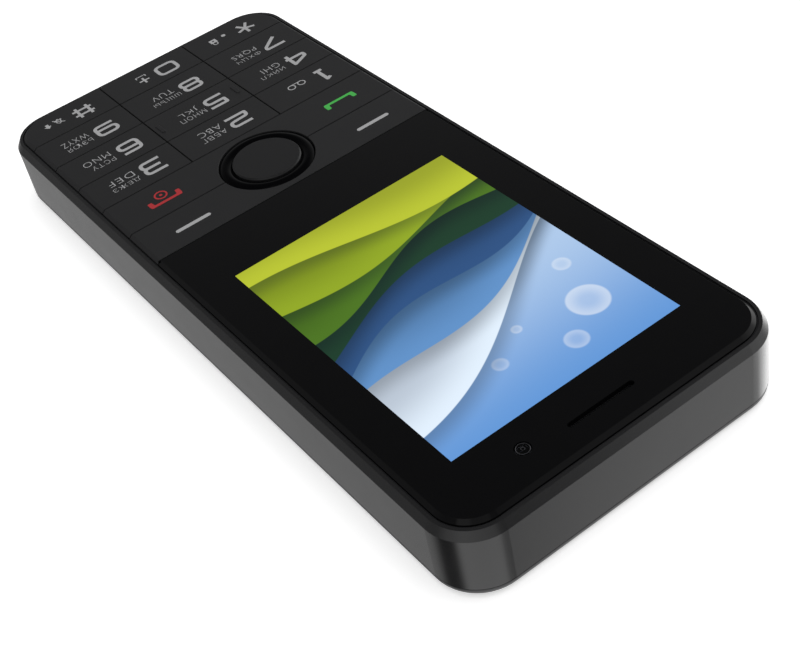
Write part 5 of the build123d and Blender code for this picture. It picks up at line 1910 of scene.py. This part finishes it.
@dataclass
class Studio:
    """Pale floor, plain light, a white room with dark cards, and the camera at the photograph's angle.

    The cards are stops: an azimuth in degrees, and how much white a gloss sees there. A span of heights is
    where one part of the room goes over into the next, from -1 straight below to 1 straight above.

    Attributes:
        floor_radius: Radius of the floor.
        floor_color: Its colour.
        floor_lift: What the floor adds to its own light where it is seen, so that it is white.
        room_light: Level of the plain light from all round.
        low_cards: The cards below the horizon.
        rim_cards: The cards round the horizon.
        top_cards: The cards above.
        below_span: Heights where the low cards end and the room is white.
        rim_span: Heights where the cards round the horizon begin.
        top_span: Heights where the cards above begin.
        soft_box: Level of the soft box that lights the right side's edge from low beside it.
        box_side: Where it begins along X.
        box_span: Heights where it begins.
        lamp_size: Side of the square lamp overhead.
        lamp_place: Its place.
        lamp_power: Its power.
        camera_place: Place of the camera.
        camera_turn: Its turn in degrees.
        camera_lens: Its focal length in millimetres.
        camera_sensor: Width of its sensor in millimetres.
        camera_shift: How far its frame is shifted.
        camera_near: Distance at which it begins to see.
    """

    floor_radius: float = 4.0
    floor_color: Color = (0.82, 0.82, 0.82, 1.0)
    floor_lift: float = 0.5
    room_light: float = 0.62
    low_cards: tuple[Place, ...] = (
        (-180, 1.0), (-164, 1.0), (-146, 0.9), (-130, 0.3), (-106, 0.25), (-80, 0.6), (-70, 0.5), (-60, 0.42),
        (-42, 0.42), (-20, 0.0), (5, 0.0), (22, 1.0), (102, 1.0), (109, 0.2), (114, 0.06), (118, 0.32),
        (126, 0.7), (134, 0.94), (150, 0.8), (160, 0.8), (172, 1.0),
    )
    rim_cards: tuple[Place, ...] = (
        (-180, 1.0), (-164, 0.85), (-140, 0.42), (-124, 0.32), (-112, 0.26), (-100, 0.17), (-40, 0.18),
        (-14, 0.18), (10, 0.5), (32, 0.7), (90, 0.5), (102, 0.07), (113, 0.05), (120.5, 0.82),
        (140, 0.8), (166, 0.6), (178, 1.0),
    )
    top_cards: tuple[Place, ...] = (
        (-180, 0.1), (-150, 0.05), (8, 0.06), (18, 0.34), (40, 0.34), (54, 0.2), (92, 0.2), (104, 0.1),
        (150, 0.1), (176, 0.1),
    )
    below_span: Place = (-0.82, -0.93)
    rim_span: Place = (-0.42, -0.16)
    top_span: Place = (0.2, 0.78)
    soft_box: float = 2.4
    box_side: Place = (-0.6, -0.68)
    box_span: Place = (-0.32, -0.42)
    lamp_size: float = 1.0
    lamp_place: tuple[float, float, float] = (-0.3, 0.1, 1.0)
    lamp_power: float = 5.5
    camera_place: tuple[float, float, float] = (0.0745615, 0.150452, 0.134515)
    camera_turn: tuple[float, float, float] = (48.1108, 9.9711, 143.8321)
    camera_lens: float = 64.764
    camera_sensor: float = 36.0
    camera_shift: Place = (0.02063, 0.004575)
    camera_near: float = 1 * MM

    def build(self) -> None:
        """Set the stage, the light and the camera."""
        self.build_floor()
        self.build_world()
        self.build_lamp()
        self.build_camera()
        bpy.context.scene.view_settings.view_transform = "Standard"

    def build_floor(self) -> None:
        """Lay the floor: white where it is seen, with the object's shadow.

        The light and the gloss pass through it to the room below, which is as white as the floor is.
        """
        maker = Sculptor()
        outline = circle_path((0.0, 0.0), self.floor_radius, LARGE_TURN)
        maker.bm.faces.new(maker.points((*place, 0.0) for place in outline))
        mesh = bpy.data.meshes.new("floor")
        maker.bm.to_mesh(mesh)
        maker.bm.free()
        floor = linked("floor", mesh)
        material, graph = new_material("pale_floor")
        paths = graph.add("ShaderNodeLightPath")
        seen = graph.math("MAXIMUM", paths.outputs["Is Camera Ray"], paths.outputs["Is Transmission Ray"])
        above = graph.math("SUBTRACT", 1.0, graph.add("ShaderNodeNewGeometry").outputs["Backfacing"])
        diffuse = graph.out("ShaderNodeBsdfDiffuse", {"Color": self.floor_color})
        glow = graph.out("ShaderNodeEmission", {"Strength": self.floor_lift})
        lit = graph.out("ShaderNodeAddShader", {0: diffuse, 1: glow})
        clear = graph.out("ShaderNodeBsdfTransparent")
        surface = graph.out("ShaderNodeMixShader", {0: graph.times(above, seen), 1: clear, 2: lit})
        graph.add("ShaderNodeOutputMaterial", {"Surface": surface})
        mesh.materials.append(material)

    def card_ring(self, graph: Graph, azimuth: Socket, cards: Sequence[Place]) -> Socket:
        """Stand soft dark cards round the object.

        Args:
            graph: The world's tree.
            azimuth: Share of a turn, from 0 behind -X round to 1.
            cards: Azimuth in degrees and level of each stop.

        Returns:
            How much of the white shows.
        """
        node = graph.add("ShaderNodeValToRGB", {"Fac": azimuth})
        ramp = node.color_ramp
        ramp.interpolation = "EASE"
        for count, (degrees, level) in enumerate(cards):
            share = degrees / 360 + 0.5
            stop = ramp.elements[count] if count < 2 else ramp.elements.new(share)
            stop.position = share
            stop.color = (level, level, level, 1.0)
        return node.outputs["Color"]

    def build_world(self) -> None:
        """Light the room evenly. It is white to the camera, to gloss and to glass.

        The gloss sees dark cards before the white, as a photographer stands them round a black object.
        """
        world = bpy.data.worlds.new("studio")
        bpy.context.scene.world = world
        world.use_nodes = True
        graph = Graph(world.node_tree)
        axes = graph.axes(graph.add("ShaderNodeTexCoord").outputs["Generated"])
        height = axes[2]
        azimuth = graph.math("MULTIPLY_ADD", graph.math("ARCTAN2", axes[1], axes[0]), 1 / (2 * math.pi), 0.5)
        rings = (self.low_cards, self.rim_cards, self.top_cards)
        low, rim, top = (self.card_ring(graph, azimuth, cards) for cards in rings)
        low = graph.blend(graph.step(height, *self.below_span), low, WHITE)
        side = graph.blend(graph.step(height, *self.rim_span), low, rim)
        cards = graph.blend(graph.step(height, *self.top_span), side, top)
        paths = graph.add("ShaderNodeLightPath")
        glossy = paths.outputs["Is Glossy Ray"]
        plain = graph.math("MAXIMUM", paths.outputs["Is Camera Ray"], paths.outputs["Is Transmission Ray"])
        seen = graph.math("MAXIMUM", plain, glossy)
        box = graph.times(graph.step(axes[0], *self.box_side), graph.step(height, *self.box_span))
        level = graph.spread(graph.times(box, glossy), 1.0, self.soft_box)
        color = graph.blend(glossy, WHITE, cards)
        shown = graph.out("ShaderNodeBackground", {"Color": color, "Strength": level})
        light = graph.out("ShaderNodeBackground", {"Color": WHITE, "Strength": self.room_light})
        surface = graph.out("ShaderNodeMixShader", {0: seen, 1: light, 2: shown})
        graph.add("ShaderNodeOutputWorld", {"Surface": surface})

    def build_lamp(self) -> None:
        """Hang the large soft lamp overhead. The gloss sees the cards in its place."""
        data = bpy.data.lights.new("overhead", "AREA")
        data.size = self.lamp_size
        data.energy = self.lamp_power
        lamp = linked("overhead", data)
        lamp.location = self.lamp_place
        lamp.visible_glossy = False

    def build_camera(self) -> None:
        """Stand the camera where the photograph was taken from."""
        data = bpy.data.cameras.new("camera")
        data.lens = self.camera_lens
        data.sensor_width = self.camera_sensor
        data.shift_x, data.shift_y = self.camera_shift
        data.clip_start = self.camera_near
        camera = linked("camera", data)
        camera.location = self.camera_place
        camera.rotation_euler = Euler([math.radians(angle) for angle in self.camera_turn])
        bpy.context.scene.camera = camera


def main() -> None:
    """Build and dress the whole phone, then set the stage."""
    logging.basicConfig(level=logging.INFO, format="%(name)s: %(message)s")
    finishes = Finishes.mix()
    finishes.dress_nodes()
    for assembly in (Housing, Keypad, Front, Back, Sockets, Inside):
        assembly(finishes).build()
    Studio().build()


if __name__ == "__main__":
    main()
